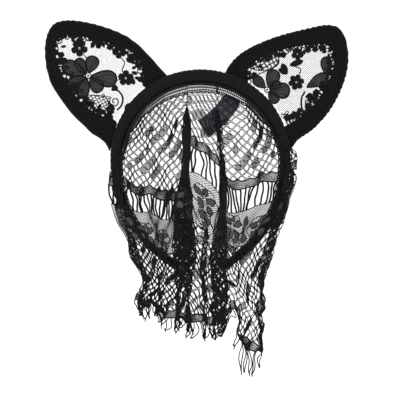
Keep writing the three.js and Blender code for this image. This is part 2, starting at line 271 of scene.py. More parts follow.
def thread_material(name, low, high, pitch=0.5):
    """Twisted yarn: slanting plies, flecks of lighter fibre and uneven dye."""
    roughness = 0.7
    material = new_material(name, roughness, sheen=0.02, specular=0.12)
    plies = wave(material, pitch, turn=(0, QUARTER, QUARTER), distortion=1.2)
    flecks = noise(material, scale=900.0, detail=3.0)
    tone = combine(material, "MULTIPLY", combine(material, "ADD", plies, 0.5), flecks)
    base_colour(material, tone, low, high, (0.25, 0.75))
    roughness_between(material, flecks, roughness - 0.1, roughness + 0.12)
    bump(material, plies, 0.6, 0.08)
    return material


def grosgrain(name, low, high):
    """Ribbon with close ribs across it."""
    material = new_material(name, 0.6, sheen=0.04, specular=0.2)
    ribs = wave(material, 0.7, distortion=0.3)
    dye = noise(material, scale=260.0, detail=3.0)
    base_colour(material, combine(material, "ADD", ribs, dye), low, high, (0.4, 1.4))
    roughness_between(material, dye, 0.45, 0.66)
    bump(material, ribs, 0.6, 0.12)
    return material


def satin(name, low, high):
    """Smooth ribbon whose long floats give it a streaked gloss."""
    material = new_material(name, 0.36, sheen=0.15, specular=0.5)
    floats = noise(material, scale=420.0, detail=2.0, stretch=(1, 1, 0.08))
    grain = wave(material, 0.28, turn=(0, QUARTER, 0), distortion=0.8)
    base_colour(material, floats, low, high)
    roughness_between(material, floats, 0.3, 0.46)
    bump(material, grain, 0.4, 0.03)
    return material


def steel(name, low, high, roughness):
    """Drawn steel with fine lines and a few dull patches."""
    material = new_material(name, roughness, metallic=1.0)
    lines = noise(material, scale=700.0, detail=2.0, stretch=(1, 1, 0.05))
    patches = noise(material, scale=90.0, detail=4.0)
    base_colour(material, patches, low, high)
    roughness_between(material, lines, roughness - 0.1, roughness + 0.15)
    bump(material, lines, 0.3, 0.02)
    return material


def wadding_material():
    material = new_material("wadding_fibres", 0.95, sheen=0.6, sheen_roughness=0.8)
    fibres = noise(material, scale=1500.0, detail=6.0)
    base_colour(material, fibres, (0.012, 0.011, 0.013), (0.045, 0.042, 0.048))
    bump(material, fibres, 0.9, 0.3)
    return material


# ---- mesh making ----


def unit(vectors):
    return vectors / np.maximum(np.linalg.norm(vectors, axis=-1, keepdims=True), 1e-9)


def stacked(*values):
    """Arrays of one shape, set side by side along a new last axis."""
    return np.stack(values, axis=-1)


class Shape:
    """Points in millimetres and faces of one piece, gathered part by part."""

    def __init__(self):
        self.points, self.faces, self.slots = [], [], []
        self.count = 0

    def add(self, points, faces, slot=0):
        """Adds points and a list of index arrays, one row for each face."""
        for rows in faces:
            if len(rows):
                self.faces.append(np.asarray(rows) + self.count)
                self.slots.append(slot)
        self.points.append(points)
        self.count += len(points)
        return self

    def make(self, name, *materials):
        mesh = bpy.data.meshes.new(name)
        points = np.concatenate(self.points) * MM
        loops = np.concatenate([f.ravel() for f in self.faces])
        sizes = np.concatenate([np.full(len(f), f.shape[1]) for f in self.faces])
        slots = np.concatenate([np.full(len(f), s) for f, s in zip(self.faces, self.slots)])
        mesh.vertices.add(len(points))
        mesh.vertices.foreach_set("co", points.astype(np.float32).ravel())
        mesh.loops.add(len(loops))
        mesh.loops.foreach_set("vertex_index", loops.astype(np.int32))
        mesh.polygons.add(len(sizes))
        starts = np.cumsum(sizes) - sizes
        mesh.polygons.foreach_set("loop_start", starts.astype(np.int32))
        mesh.polygons.foreach_set("material_index", slots.astype(np.int32))
        mesh.polygons.foreach_set("use_smooth", np.full(len(sizes), True))
        mesh.update(calc_edges=True)
        mesh.validate()
        for material in materials:
            mesh.materials.append(material)
        piece = bpy.data.objects.new(name, mesh)
        bpy.context.scene.collection.objects.link(piece)
        return piece


def add_threads(shape, paths, place, half_width, half_height, sides=4, slot=0, lift=0.0):
    """Closed threads along paths of surface coordinates.

    place gives positions and normals for an array of coordinates. The section is an
    ellipse drawn with few sides, wide across the surface and thin through it.
    """
    paths = [p for p in paths if len(p) > 1]
    if not paths:
        return
    lengths = np.array([len(p) for p in paths])
    position, normal = place(np.concatenate(paths))
    position = position + normal * lift
    first = np.cumsum(lengths) - lengths
    last = first + lengths - 1
    index = np.arange(len(position))
    before, after = index - 1, index + 1
    before[first], after[last] = first, last
    run = unit(position[after] - position[before])
    side = unit(np.cross(run, normal))
    up = np.cross(side, run)
    turn = 2 * math.pi * np.arange(sides) / sides
    across = np.cos(turn)[None, :, None] * side[:, None] * half_width
    through = np.sin(turn)[None, :, None] * up[:, None] * half_height
    points = (position[:, None] + across + through).reshape(-1, 3)
    k = np.arange(sides)
    starts = np.setdiff1d(index, last)[:, None] * sides
    a, b = starts + k, starts + (k + 1) % sides
    walls = stacked(a, b, b + sides, a + sides).reshape(-1, 4)
    near = first[:, None] * sides + k[::-1]
    far = last[:, None] * sides + k
    shape.add(points, [walls[:, ::-1], near[:, ::-1], far[:, ::-1]], slot)


def round_ring(count):
    """Indices of a closed ring's points, and of the point after each."""
    c = np.arange(count)
    return c, (c + 1) % count


def rim_faces(count, shift):
    """Quads between a mesh's first ring and the ring that lies shift points further on."""
    c, d = round_ring(count)
    return stacked(d, c, c + shift, d + shift)


def ring_faces(rows, columns):
    """Quads of a tube of rows by columns points, closed round the columns."""
    r = np.arange(rows - 1)[:, None] * columns
    c, d = round_ring(columns)
    return stacked(r + c, r + d, r + columns + d, r + columns + c).reshape(-1, 4)


def add_loft(shape, rings, flip=False):
    """A closed solid through rings of points, with its two ends capped."""
    rows, columns = rings.shape[:2]
    walls = ring_faces(rows, columns)
    start = np.arange(columns)[::-1][None]
    end = (np.arange(columns) + (rows - 1) * columns)[None]
    faces = [walls, start, end]
    if flip:
        faces = [f[:, ::-1] for f in faces]
    shape.add(rings.reshape(-1, 3), faces)


def add_sleeve(shape, outer, inner, flip=False):
    """A wall between two lofts of equal size, closed by a rim at each end."""
    rows, columns = outer.shape[:2]
    shift = rows * columns
    walls = ring_faces(rows, columns)
    c, d = round_ring(columns)
    base = (rows - 1) * columns
    near = rim_faces(columns, shift)
    far = stacked(base + c, base + d, base + shift + d, base + shift + c)
    faces = [walls, walls[:, ::-1] + shift, near, far]
    if flip:
        faces = [f[:, ::-1] for f in faces]
    shape.add(np.concatenate([outer.reshape(-1, 3), inner.reshape(-1, 3)]), faces)


def smooth_read(knots, values, at):
    """A smooth curve through (knot, value) pairs, read at an array of places."""
    knots, values = np.asarray(knots, float), np.asarray(values, float)
    if knots[0] > knots[-1]:
        knots, values = knots[::-1], values[::-1]
    slope = np.gradient(values, knots)
    i = np.clip(np.searchsorted(knots, at) - 1, 0, len(knots) - 2)
    step = knots[i + 1] - knots[i]
    t = np.clip((at - knots[i]) / step, 0, 1)
    a, b = values[i], values[i + 1]
    near = a * (1 + 2 * t) * (1 - t) ** 2 + slope[i] * step * t * (1 - t) ** 2
    return near + b * t * t * (3 - 2 * t) - slope[i + 1] * step * t * t * (1 - t)


def dense_curve(points, fineness):
    """Close points on a smooth curve through a few points, after their places in the list."""
    points = np.asarray(points, float)
    knots = np.arange(len(points))
    places = np.linspace(0, len(points) - 1, fineness * len(points))
    return places, stacked(*(smooth_read(knots, points[:, k], places) for k in (0, 1)))


def length_along(points):
    """How far each point of a line is from its start, measured along the line."""
    return np.concatenate([[0], np.cumsum(np.linalg.norm(np.diff(points, axis=0), axis=1))])


def read_line(at, knots, points):
    """Points of a line at places between its knots."""
    return stacked(*(np.interp(at, knots, points[:, k]) for k in (0, 1)))


def smooth_line(points, count):
    """Evenly spaced points on a smooth curve through a few points."""
    _, dense = dense_curve(points, 40)
    run = length_along(dense)
    return read_line(np.linspace(0, run[-1], count), run, dense)


def closed(outline):
    return np.concatenate([outline, outline[:1]])


def whole_turn(count, to_end=False):
    """Angles once round. Without to_end the last is left out, as it is the first again."""
    return np.linspace(0, 2 * math.pi, count, endpoint=to_end)


def middle_and_reach(outline):
    middle = outline.mean(axis=0)
    return middle, np.linalg.norm(outline - middle, axis=1).max()


def inside(polygon, points):
    """True for each point that lies in the polygon."""
    x, z = points[:, 0], points[:, 1]
    found = np.zeros(len(points), bool)
    for (x0, z0), (x1, z1) in zip(polygon, np.roll(polygon, -1, axis=0)):
        crosses = (z0 > z) != (z1 > z)
        reach = x0 + (z - z0) / (z1 - z0 if z1 != z0 else 1) * (x1 - x0)
        found ^= crosses & (x < reach)
    return found


def stretches(path, keep, least):
    """The stretches of a path that are kept and have more than the least number of points."""
    cuts = np.flatnonzero(np.diff(keep.astype(int))) + 1
    return [p for p, k in zip(np.split(path, cuts), np.split(keep, cuts)) if k[0] and len(p) > least]


def runs_inside(path, polygon):
    return stretches(path, inside(polygon, path), 2)


# ---- the band ----


def taper(angle):
    """The band's size at an angle, as a share of its size at the crown."""
    along = (np.abs(angle - 90) - TAPER_FROM) / (90 + LIMB_SWEEP - TAPER_FROM)
    return 1 - (1 - TIP_SCALE) * np.clip(along, 0, 1)


def on_ring(angle):
    """Points of the band's centreline at an array of angles, and the outward directions."""
    limb = (angle < 0) | (angle > 180)
    radius = np.where(limb, LIMB_RADIUS, CROWN_RADIUS)
    shift = np.where(limb, (LIMB_RADIUS - CROWN_RADIUS) * np.where(angle > 180, 1, -1), 0)
    turn = np.radians(angle)
    out = stacked(np.cos(turn), np.zeros_like(turn), np.sin(turn))
    centre = stacked(shift, np.zeros_like(turn), np.full_like(turn, RING_Z))
    return centre + out * radius[..., None], out


SECTION_POWER = 2 / 3.3
BACKWARD = np.array([0, 1, 0])


def section(turn):
    """The band's full-size outline as (outward, backward), for angles round it."""
    c, s = np.cos(turn), np.sin(turn)
    outward = HALF_THICKNESS * np.sign(c) * np.abs(c) ** SECTION_POWER
    return outward, HALF_DEPTH * np.sign(s) * np.abs(s) ** SECTION_POWER


def band_surface(angle, turn, lift=0.0):
    """Points on the band's cover, with the slack and drag lines of a pulled cloth."""
    point, out = on_ring(angle)
    outward, backward = section(turn)
    slack = (
        0.16 * np.sin(angle * 1.9 + 2 * turn)
        + 0.12 * np.sin(angle * 5.3 - 3 * turn + 1.0)
        + 0.08 * np.sin(angle * 11.0 + 5 * turn)
    )
    grow = 1 + (slack - 0.18 + lift) / HALF_THICKNESS
    scale = (taper(angle) * grow)[..., None]
    return point + out * outward[..., None] * scale + BACKWARD * backward[..., None] * scale


def band_place(coordinates):
    """Coordinates (angle along the band, turn round it) on the cover."""
    angle, turn = coordinates.T
    here = band_surface(angle, turn)
    along = band_surface(angle + 0.2, turn) - here
    round_it = band_surface(angle, turn + 0.02) - here
    return here, unit(np.cross(along, round_it))


# A half of the band runs from the crown's top to a tip.
HALVES = {"left": (90.0, 180 + LIMB_SWEEP), "right": (90.0, -LIMB_SWEEP)}
BAND_ROWS, BAND_COLUMNS = 280, 40


def blend_limb(piece):
    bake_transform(piece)


def wrap_band(side, material):
    angle = np.linspace(*HALVES[side], BAND_ROWS)[:, None]
    turn = whole_turn(BAND_COLUMNS)[None]
    angle, turn = np.broadcast_arrays(angle, turn)
    outer = band_surface(angle, turn)
    inner = band_surface(angle, turn, lift=-COVER_THICKNESS + 0.15)
    shape = Shape()
    add_sleeve(shape, outer, inner, flip=side == "right")
    wrap = shape.make(f"band_wrap_{side}", material)
    blend_limb(wrap)
    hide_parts("band_cover_crown", f"band_cover_{side}")


BAND_THREADS = 14
BAND_NET_PERIOD = 5.2


def band_lace(side, material):
    """The thin lace layer drawn over the band: wavy threads along it, linked in places."""
    first, last = HALVES[side]
    per_degree = math.radians(1) * CROWN_RADIUS
    angle = np.arange(0, abs(last - first), 0.75)
    paths = []
    for i in range(BAND_THREADS):
        swing = 0.17 * np.sin(angle * per_degree * 2 * math.pi / BAND_NET_PERIOD) * (-1) ** i
        wander = 0.05 * np.sin(angle * 0.21 + i * 1.7)
        turn = 2 * math.pi * i / BAND_THREADS + swing + wander
        paths.append(stacked(first + np.sign(last - first) * angle, turn))
    shape = Shape()
    add_threads(shape, paths, band_place, 0.32, 0.15, lift=0.04)
    lace = shape.make(f"band_lace_{side}", material)
    blend_limb(lace)


TAPE_TOP = -HALF_THICKNESS - GAP
TAPE_LOWER = TAPE_TOP - LINING_THICKNESS


def tape_rings(angle, across, shift, rib, picot=0.0):
    """Rings of a tape inside the band, with fine ribs on its face towards the head.

    across lists places across the tape, shift moves it backward, and picot is how many
    times deeper than the ribs its edges waver.
    """
    point, out = on_ring(angle)
    scale = taper(angle)
    ribs = rib * np.cos(np.arange(len(angle)) * math.pi)
    profile = [(TAPE_TOP, y) for y in across] + [(TAPE_LOWER, y) for y in across[::-1]]
    rings = []
    for outward, y in profile:
        reach = (outward + (ribs if outward == TAPE_LOWER else 0)) * scale
        waver = np.sign(y) * ribs * picot if abs(y) == across[-1] else 0
        backward = (y + shift + waver) * scale
        rings.append(point + out * reach[:, None] + BACKWARD * backward[:, None])
    return np.stack(rings, axis=1)


def tape_place(lift, shift=0.0):
    """Coordinates (angle along the band, place across it) just off a tape's ribbed face."""

    def place(coordinates):
        here, outward = on_ring(coordinates[:, 0])
        size = taper(coordinates[:, 0])[:, None]
        backward = BACKWARD * (coordinates[:, 1:] + shift) * size
        return here + outward * (TAPE_LOWER - lift) * size + backward, -outward

    return place


LINING_SHIFT = 0.7


def lining_tape(side, cloth, thread):
    """The ribbon against the head: a thin ribbed tape, its edges sewn down with a zigzag."""
    first, last = HALVES[side]
    last -= math.copysign(math.degrees(CAP_LENGTH / LIMB_RADIUS), last - first)
    angle = np.linspace(first, last, 420)
    across = [-3.5, -3.2, -1.6, 0, 1.6, 3.2, 3.5]
    shape = Shape()
    add_loft(shape, tape_rings(angle, across, LINING_SHIFT, rib=0.05, picot=3), flip=side == "right")
    count = int(abs(last - first) * 1.1)
    step = np.linspace(first, last, count)
    zigzag = np.where(np.arange(count) % 2, 2.9, 2.0)
    for sign in (-1, 1):
        path = stacked(step, LINING_SHIFT + sign * zigzag)
        add_threads(shape, [path], tape_place(0.1), 0.16, 0.12, slot=1)
    tape = shape.make(f"lining_tape_{side}", cloth, thread)
    blend_limb(tape)
    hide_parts("band_lining_crown", f"band_lining_{side}")


CAP_GATHERS = 15


def tip_wrap(side, material):
    """The cap over a tip: the cloth gathered in folds towards a rounded end."""
    end = HALVES[side][1]
    direction = 1 if end > 90 else -1
    cap = math.degrees(CAP_LENGTH / LIMB_RADIUS)
    share = np.linspace(0, 1, 26)
    angle = end + direction * cap * (share - CAP_OVERLAP)
    turn = whole_turn(60)[None]
    past = np.clip((share - 0.55) / 0.45, 0, 1)
    domed = np.sqrt(1 - 0.86 * past * past)
    gathers = 0.28 * np.cos(CAP_GATHERS * turn) * (0.3 + past[:, None])
    roll = 0.25 * np.exp(-((share - 0.06) / 0.05) ** 2)
    point, out = on_ring(angle)
    outward, backward = section(turn)

    def skin(lift):
        grow = 1 + (lift + gathers + roll[:, None]) / HALF_THICKNESS
        scale = (taper(angle) * domed)[:, None] * grow
        y = BACKWARD * (backward * scale)[..., None]
        return point[:, None] + out[:, None] * (outward * scale)[..., None] + y

    outer = skin(GAP + 0.55)
    shape = Shape()
    rows = np.flatnonzero(share < 0.6)
    inner = outer.copy()
    inner[rows] = skin(GAP)[rows]
    depth = rows[-1]
    inner[depth + 1:] = inner[depth] * 0.02 + point[depth] * 0.98
    # Inside, the wall follows the band and then closes across it.
    pocket = inner[: depth + 2]
    columns = outer.shape[1]
    walls = ring_faces(len(share), columns)
    cap_face = (np.arange(columns) + (len(share) - 1) * columns)[None]
    shift = len(share) * columns
    pocket_walls = ring_faces(len(pocket), columns)[:, ::-1] + shift
    pocket_end = (np.arange(columns)[::-1] + (len(pocket) - 1) * columns + shift)[None]
    faces = [walls, cap_face, pocket_walls, pocket_end, rim_faces(columns, shift)]
    if direction < 0:
        faces = [f[:, ::-1] for f in faces]
    shape.add(np.concatenate([outer.reshape(-1, 3), pocket.reshape(-1, 3)]), faces)
    wrap = shape.make(f"tip_wrap_{side}", material)
    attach(wrap, f"limb_{side}")
    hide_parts(f"tip_cap_{side}")


# ---- the ears ----

# Each ear's outer edge and the inner edge of its border, from the inner foot over the tip
# to the outer foot, as points (x, z). Each has two corners at the tip, given by their
# places in the list.
EARS = {
    "left": {
        "angle": 142.0,
        "outer": [(-24, 4), (-33, 13.5), (-42, 23.9), (-58.4, 38), (-82, 47.5), (-106, 51.4),
                  (-119.8, 46.5), (-125.2, 29), (-121.4, 3.6), (-107, -19.5), (-89.2, -38),
                  (-78, -46), (-73, -54)],
        "inner": [(-44, -3), (-46, 6), (-50, 20), (-62, 29.5), (-84, 35.5), (-103, 39.5),
                  (-115, 36), (-115.5, 20), (-107.5, 1), (-96, -14.5), (-83, -24), (-72, -27),
                  (-67, -31)],
    },
    "right": {
        "angle": 41.0,
        "outer": [(19, 8), (24.5, 17), (35.6, 27), (58.8, 37.5), (86.8, 45), (104, 47.6),
                  (114.3, 42), (119, 24), (116, 3), (105.2, -19.6), (91, -36), (79, -44.5),
                  (72.5, -53)],
        "inner": [(39, 0), (38, 6), (40, 15), (54, 24), (74, 29.5), (92, 32),
                  (104, 30), (107.5, 18), (103, 3), (94, -13), (82, -25), (73, -31),
                  (67.4, -34)],
    },
}
TIP_CORNERS = (5, 7)
BORDER_PARTS = (130, 34, 130)


def edge_points(points):
    """An edge as evenly spaced points in three stretches, which meet at the tip's corners."""
    places, dense = dense_curve(points, 60)
    last = len(points) - 1
    made = []
    for a, b, count in zip((0, *TIP_CORNERS), (*TIP_CORNERS, last), BORDER_PARTS):
        part = dense[(places >= a) & (places <= b)]
        run = length_along(part)
        made.append(read_line(np.linspace(0, run[-1], count, endpoint=b == last), run, part))
    made = np.concatenate(made)
    # The folded cloth leaves an edge that is never quite smooth.
    x, z = made.T
    lumps = 0.2 * np.sin(1.3 * x + 0.9 * z) + 0.14 * np.sin(2.7 * z - 1.9 * x)
    middle = made.mean(axis=0)
    return made + unit(made - middle) * lumps[:, None]


RING_CENTRE = np.array([0, RING_Z])


def blend_ear(piece):
    """Bakes the piece's placing into its mesh, so that it stays where it was made."""
    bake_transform(piece)


BORDER_SECTION = 34
CHANNEL_IN = 3.6


def border_point(outer, inner, share, front):
    """Points of the border, for shares from its inner edge to its outer one.

    front is -1 on the front face and 1 on the back. The border is stuffed by the folded
    cloth, with a ridge over the wire and a stitched channel beside it.
    """
    width = np.linalg.norm(outer - inner, axis=-1)
    middle = 2 * share - 1
    round_off = np.clip(1 - np.abs(middle) ** (width * 0.5), 0, 1) ** 0.5
    from_edge = (1 - share) * width
    ridge = 0.35 * np.exp(-((from_edge - 2.2) / 1.1) ** 2)
    channel = -0.5 * np.exp(-((from_edge - CHANNEL_IN - 0.8) / 0.5) ** 2)
    x, z = (inner + (outer - inner) * share[..., None]).T
    puckers = (
        0.22 * np.sin(1.15 * x + 0.5 * z + 2.0 * front)
        + 0.2 * np.sin(0.6 * x - 1.3 * z)
        + 0.13 * np.sin(2.3 * x + 2.1 * z + front)
    ).T
    height = BINDING_HALF * round_off - 0.25 + (ridge + channel + puckers) * round_off
    return stacked(x.T, front * np.maximum(height, 0.02), z.T)


def ear_border(side, material):
    outer = edge_points(EARS[side]["outer"])
    inner = edge_points(EARS[side]["inner"])
    half = BORDER_SECTION // 2
    share = 0.5 - 0.5 * np.cos(np.linspace(0, math.pi, half + 1))
    share_front, share_back = share[:-1], share[::-1][:-1]
    columns = []
    for values, front in ((share_front, -1), (share_back, 1)):
        for value in values:
            columns.append(border_point(outer, inner, np.full(len(outer), value), front))
    rings = np.stack(columns, axis=1)
    shape = Shape()
    add_loft(shape, rings, flip=side == "right")
    border = shape.make(f"ear_border_{side}", material)
    blend_ear(border)
    feet = [f"ear_foot_{side}_inner", f"ear_foot_{side}_outer"]
    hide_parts(f"ear_binding_{side}", *feet)


def border_place(side):
    """Surface coordinates on a border: (place along it, share across it, front or back)."""
    outer = edge_points(EARS[side]["outer"])
    inner = edge_points(EARS[side]["inner"])
    index = np.arange(len(outer))

    def place(coordinates):
        along, share, front = coordinates.T
        edges = [read_line(along, index, edge) for edge in (outer, inner)]
        return border_point(*edges, share, front), stacked(0 * front, front, 0 * front)

    return place, len(outer)


BORDER_THREADS = 7


def border_lace(side, material):
    """Lace over the border: threads along it that swing towards each other in turn."""
    place, rows = border_place(side)
    along = np.arange(1.0, rows - 2, 0.8)
    shape = Shape()
    for front in (-1, 1):
        net = []
        for i in range(BORDER_THREADS):
            swing = 0.055 * np.sin(along * 0.66) * (-1) ** i
            wander = 0.02 * np.sin(along * 0.21 + i)
            share = 0.1 + 0.8 * (i + 0.5) / BORDER_THREADS + swing + wander
            net.append(stacked(along, share, np.full_like(along, front)))
        add_threads(shape, net, place, 0.32, 0.13, lift=0.02)
    lace = shape.make(f"border_lace_{side}", material)
    blend_ear(lace)


def flat_place(y):
    """Coordinates (x, z) on a level sheet that faces the front, at depth y."""

    def place(points):
        here = stacked(points[:, 0], np.full(len(points), y), points[:, 1])
        normal = np.zeros_like(here)
        normal[:, 1] = -1
        return here, normal

    return place


def add_plate(shape, outline, centre, place, thickness, slot, dome=0.0):
    """A thin closed plate inside an outline of surface coordinates."""
    outline, centre = np.asarray(outline), np.asarray(centre)
    x, z = outline.T
    if np.dot(x, np.roll(z, -1)) < np.dot(z, np.roll(x, -1)):
        outline = outline[::-1]
    shares = (1.0, 0.66, 0.33)
    rings = [centre + (outline - centre) * s for s in shares] + [centre[None]]
    position, normal = place(np.concatenate(rings))
    count = len(outline)
    rise = np.concatenate([np.full(count, 1 - s * s) for s in shares] + [np.ones(1)])
    low = thickness / 2 * (0.35 + 0.65 * rise)
    half = low + dome * rise
    points = np.concatenate([position + normal * half[:, None], position - normal * low[:, None]])
    quads = ring_faces(len(shares), count)
    c, d = round_ring(count)
    last = (len(shares) - 1) * count
    fans = stacked(last + c, last + d, np.full(count, last + count))
    shift = len(position)
    rim = rim_faces(count, shift)
    shape.add(points, [quads, quads[:, ::-1] + shift, fans, fans[:, ::-1] + shift, rim], slot)


def turned(points, angle, centre=(0, 0)):
    """Points turned round the origin and then moved by centre."""
    c, s = math.cos(angle), math.sin(angle)
    return np.asarray(points) @ np.array([[c, s], [-s, c]]) + np.asarray(centre)


def petal_outline(length, width):
    """A petal from its narrow foot at the origin, along +X."""
    t = whole_turn(22)
    x = length * (0.5 - 0.5 * np.cos(t))
    body = np.sin(t) * (np.clip(x / length, 0, 1) ** 0.5) * 1.15
    return stacked(x, width / 2 * body)


def leaf_outline(length, width):
    """A leaf with two sharp ends, from the origin along +X."""
    t = whole_turn(20)
    sharp = np.sign(np.sin(t)) * np.abs(np.sin(t)) ** 1.5
    return stacked(length * (0.5 - 0.5 * np.cos(t)), width / 2 * sharp)


class EarLace:
    """The embroidered panel of one ear: a fine tulle ground with worked flowers."""

    FILL, TULLE, DARK = 0, 1, 2
    FILL_DEPTH, CORD_DEPTH = -0.35, -0.62
    SMALL_PETAL = 9.0
    PETAL_SPREAD = 0.85
    HATCH_PITCH = 1.25
    TULLE_PITCH = 1.25

    def __init__(self):
        self.ground = Shape()
        self.cords = Shape()

    def cord(self, points, half=0.42, count=None):
        """A raised cord, smoothed to a number of points if a count is given."""
        points = np.asarray(points, float)
        if count:
            points = smooth_line(points, count)
        add_threads(self.cords, [points], flat_place(self.CORD_DEPTH), half, half * 0.8, sides=6)

    def fill(self, outline, centre=None, dark=False):
        """A slightly domed field of close stitches, in the dark yarn or the greyer one."""
        centre = outline.mean(axis=0) if centre is None else centre
        slot = self.DARK if dark else self.FILL
        add_plate(self.ground, outline, centre, flat_place(self.FILL_DEPTH), 0.4, slot, dome=0.12)

    def hatch(self, outline, angle):
        """Close satin stitches across a filled shape."""
        middle, reach = middle_and_reach(outline)
        t = np.arange(-reach, reach, 0.6)
        paths = []
        for across in np.arange(-reach, reach, self.HATCH_PITCH):
            path = turned(stacked(t, across + 0 * t), angle, middle)
            paths += runs_inside(path, outline)
        add_threads(self.cords, paths, flat_place(self.FILL_DEPTH - 0.3), 0.2, 0.14)

    def petal(self, centre, angle, length, width, veins=3):
        """A corded petal, dark if small and otherwise hatched, with veins that fan out."""
        outline = turned(petal_outline(length, width), angle, centre)
        small = length < self.SMALL_PETAL
        self.fill(outline, dark=small)
        self.cord(closed(outline), half=0.42 if small else 0.58)
        if not small:
            self.hatch(outline, angle + 0.9)
        for k in range(veins):
            spread = (k - (veins - 1) / 2) * 0.3
            vein = [(length * 0.18, 0), (length * 0.5, spread * width * 0.5),
                    (length * 0.86, spread * width * 0.8)]
            self.cord(turned(vein, angle, centre), half=0.22, count=6)

    def heart(self, centre, radius):
        """The open middle of a flower: a ring of cord round a small knot."""
        t = whole_turn(17, to_end=True)
        ring = stacked(np.cos(t), np.sin(t))
        self.cord(np.asarray(centre) + ring * radius, half=0.4)
        self.fill(np.asarray(centre) + ring[:-1] * radius * 0.4, np.asarray(centre, float))

    def flower(self, centre, radius, petals, start):
        """A small flower of equal petals with gaps between them."""
        spacing = 2 * math.pi / petals
        for k in range(petals):
            angle = start + k * spacing
            base = turned([(radius * 0.16, 0)], angle, centre)[0]
            width = self.PETAL_SPREAD * 2 * math.sin(spacing / 2) * radius * 0.82
            self.petal(base, angle, radius * 0.84, width, veins=1)
        self.heart(centre, radius * 0.2)

    def wild_flower(self, centre, heart, petals):
        """A large flower whose petals differ: (angle in degrees, length, width) for each."""
        for degrees, length, width in petals:
            angle = math.radians(degrees)
            base = turned([(heart, 0)], angle, centre)[0]
            self.petal(base, angle, length, width)
        self.heart(centre, heart)

    def scraps(self, chain, seed):
        """Cut-off bits of the pattern along the border's inner edge."""
        random = np.random.default_rng(seed)
        middle = chain.mean(axis=0)
        run = length_along(chain)
        places = np.arange(2.0, run[-1] - 4, 2.5)
        for place in places + random.uniform(-0.6, 0.6, len(places)):
            here = read_line(place, run, chain)
            inward = math.atan2(*(middle - here)[::-1]) + random.uniform(-0.8, 0.8)
            reach = random.uniform(2.6, 6.0)
            base = here - 1.2 * np.array([math.cos(inward), math.sin(inward)])
            kind = random.integers(0, 4)
            if kind == 0:
                self.petal(base, inward, reach, random.uniform(2.2, 3.4), veins=0)
            elif kind == 1:
                self.leaf(base, inward, reach + 0.5, random.uniform(1.8, 2.8))
            else:
                t = whole_turn(12, to_end=True)
                wide = random.uniform(1.2, 1.9)
                ring = stacked(reach * 0.5 * (1 - np.cos(t)), wide * np.sin(t))
                self.cord(turned(ring, inward, base), half=0.48)

    def scattered(self, chain, seed):
        """Smaller bits further in, with gaps between them."""
        random = np.random.default_rng(seed)
        middle = chain.mean(axis=0)
        run = length_along(chain)
        for place in np.arange(4.0, run[-1] - 6, 3.6):
            if random.random() < 0.35:
                continue
            here = read_line(place, run, chain)
            inward = unit(middle - here)
            spot = here + inward * random.uniform(2.6, 5.2)
            if random.random() < 0.5:
                self.flower(spot, random.uniform(1.7, 2.6), 5, random.uniform(0, 1.2))
            else:
                lean = math.atan2(inward[1], inward[0]) + random.uniform(-1.2, 1.2)
                self.leaf(spot, lean, random.uniform(3.0, 4.6), random.uniform(1.6, 2.4))

    def net_patch(self, outline, pitch=2.4, half=0.3):
        """A patch of open net with its own cord round it."""
        outline = smooth_line(outline + outline[:1], 60)
        self.cord(outline, half=0.4)
        middle, reach = middle_and_reach(outline)
        t = np.arange(-reach, reach, 0.5)
        lines = int(2 * reach / pitch)
        paths = []
        for direction in (0.5, 2.1):
            for i in range(lines):
                across = (i - lines / 2) * pitch + 0.35 * np.sin(t * 2.4 + i)
                path = turned(stacked(t, across), direction, middle)
                paths += runs_inside(path, outline)
        add_threads(self.cords, paths, flat_place(self.CORD_DEPTH), half, half * 0.7)

    def leaf(self, base, angle, length, width):
        """A dark leaf with a cord round it and one along its middle."""
        outline = turned(leaf_outline(length, width), angle, base)
        self.fill(outline, dark=True)
        self.cord(closed(outline), half=0.36)
        self.cord(turned([(0, 0), (length * 0.92, 0)], angle, base), half=0.25, count=5)

    def scroll(self, centre, angle, size):
        """A cord that winds inward, 1.4 times round."""
        t = np.linspace(0, 1, 34)
        spin = angle + 1.4 * 2 * math.pi * t
        reach = (size * (1 - t) ** 0.8 + 0.6)[:, None]
        self.cord(np.asarray(centre) + reach * stacked(np.cos(spin), np.sin(spin)), half=0.5)

    def loops(self, points, size, count):
        """Small loops set along a stem, as on a fern."""
        stem = smooth_line(points, count * 6)
        self.cord(stem, half=0.4)
        t = whole_turn(12, to_end=True)
        for k in range(count):
            here, after = stem[k * 6], stem[min(k * 6 + 1, len(stem) - 1)]
            lean = math.atan2(*(after - here)[::-1]) + (0.9 if k % 2 else -0.9)
            ring = stacked(size * (1 - np.cos(t)), size * 0.55 * np.sin(t))
            self.cord(turned(ring, lean, here), half=0.3)

    def tulle(self, polygon, direction, weight):
        """The ground: strong slanting threads, and finer ones that zigzag between them."""
        middle, reach = middle_and_reach(polygon)
        pitch = self.TULLE_PITCH
        lines = int(2 * reach / pitch)
        strong, fine = [], []
        t = np.arange(-reach, reach, 1.4)
        for i in range(lines):
            across = (i - lines / 2) * pitch + 0.12 * np.sin(t * 0.9 + i)
            strong += runs_inside(turned(stacked(t, across), direction, middle), polygon)
        t = np.arange(-reach, reach, 0.625)
        for i in range(lines):
            across = (i - lines / 2 + 0.5) * pitch + 0.55 * (-1.0) ** (np.arange(len(t)) + i)
            fine += runs_inside(turned(stacked(t, across), direction, middle), polygon)
        place = flat_place(0.0)
        add_threads(self.ground, strong, place, weight, 0.07, sides=3, slot=self.TULLE)
        add_threads(self.ground, fine, place, 0.05, 0.04, sides=3, slot=self.TULLE)


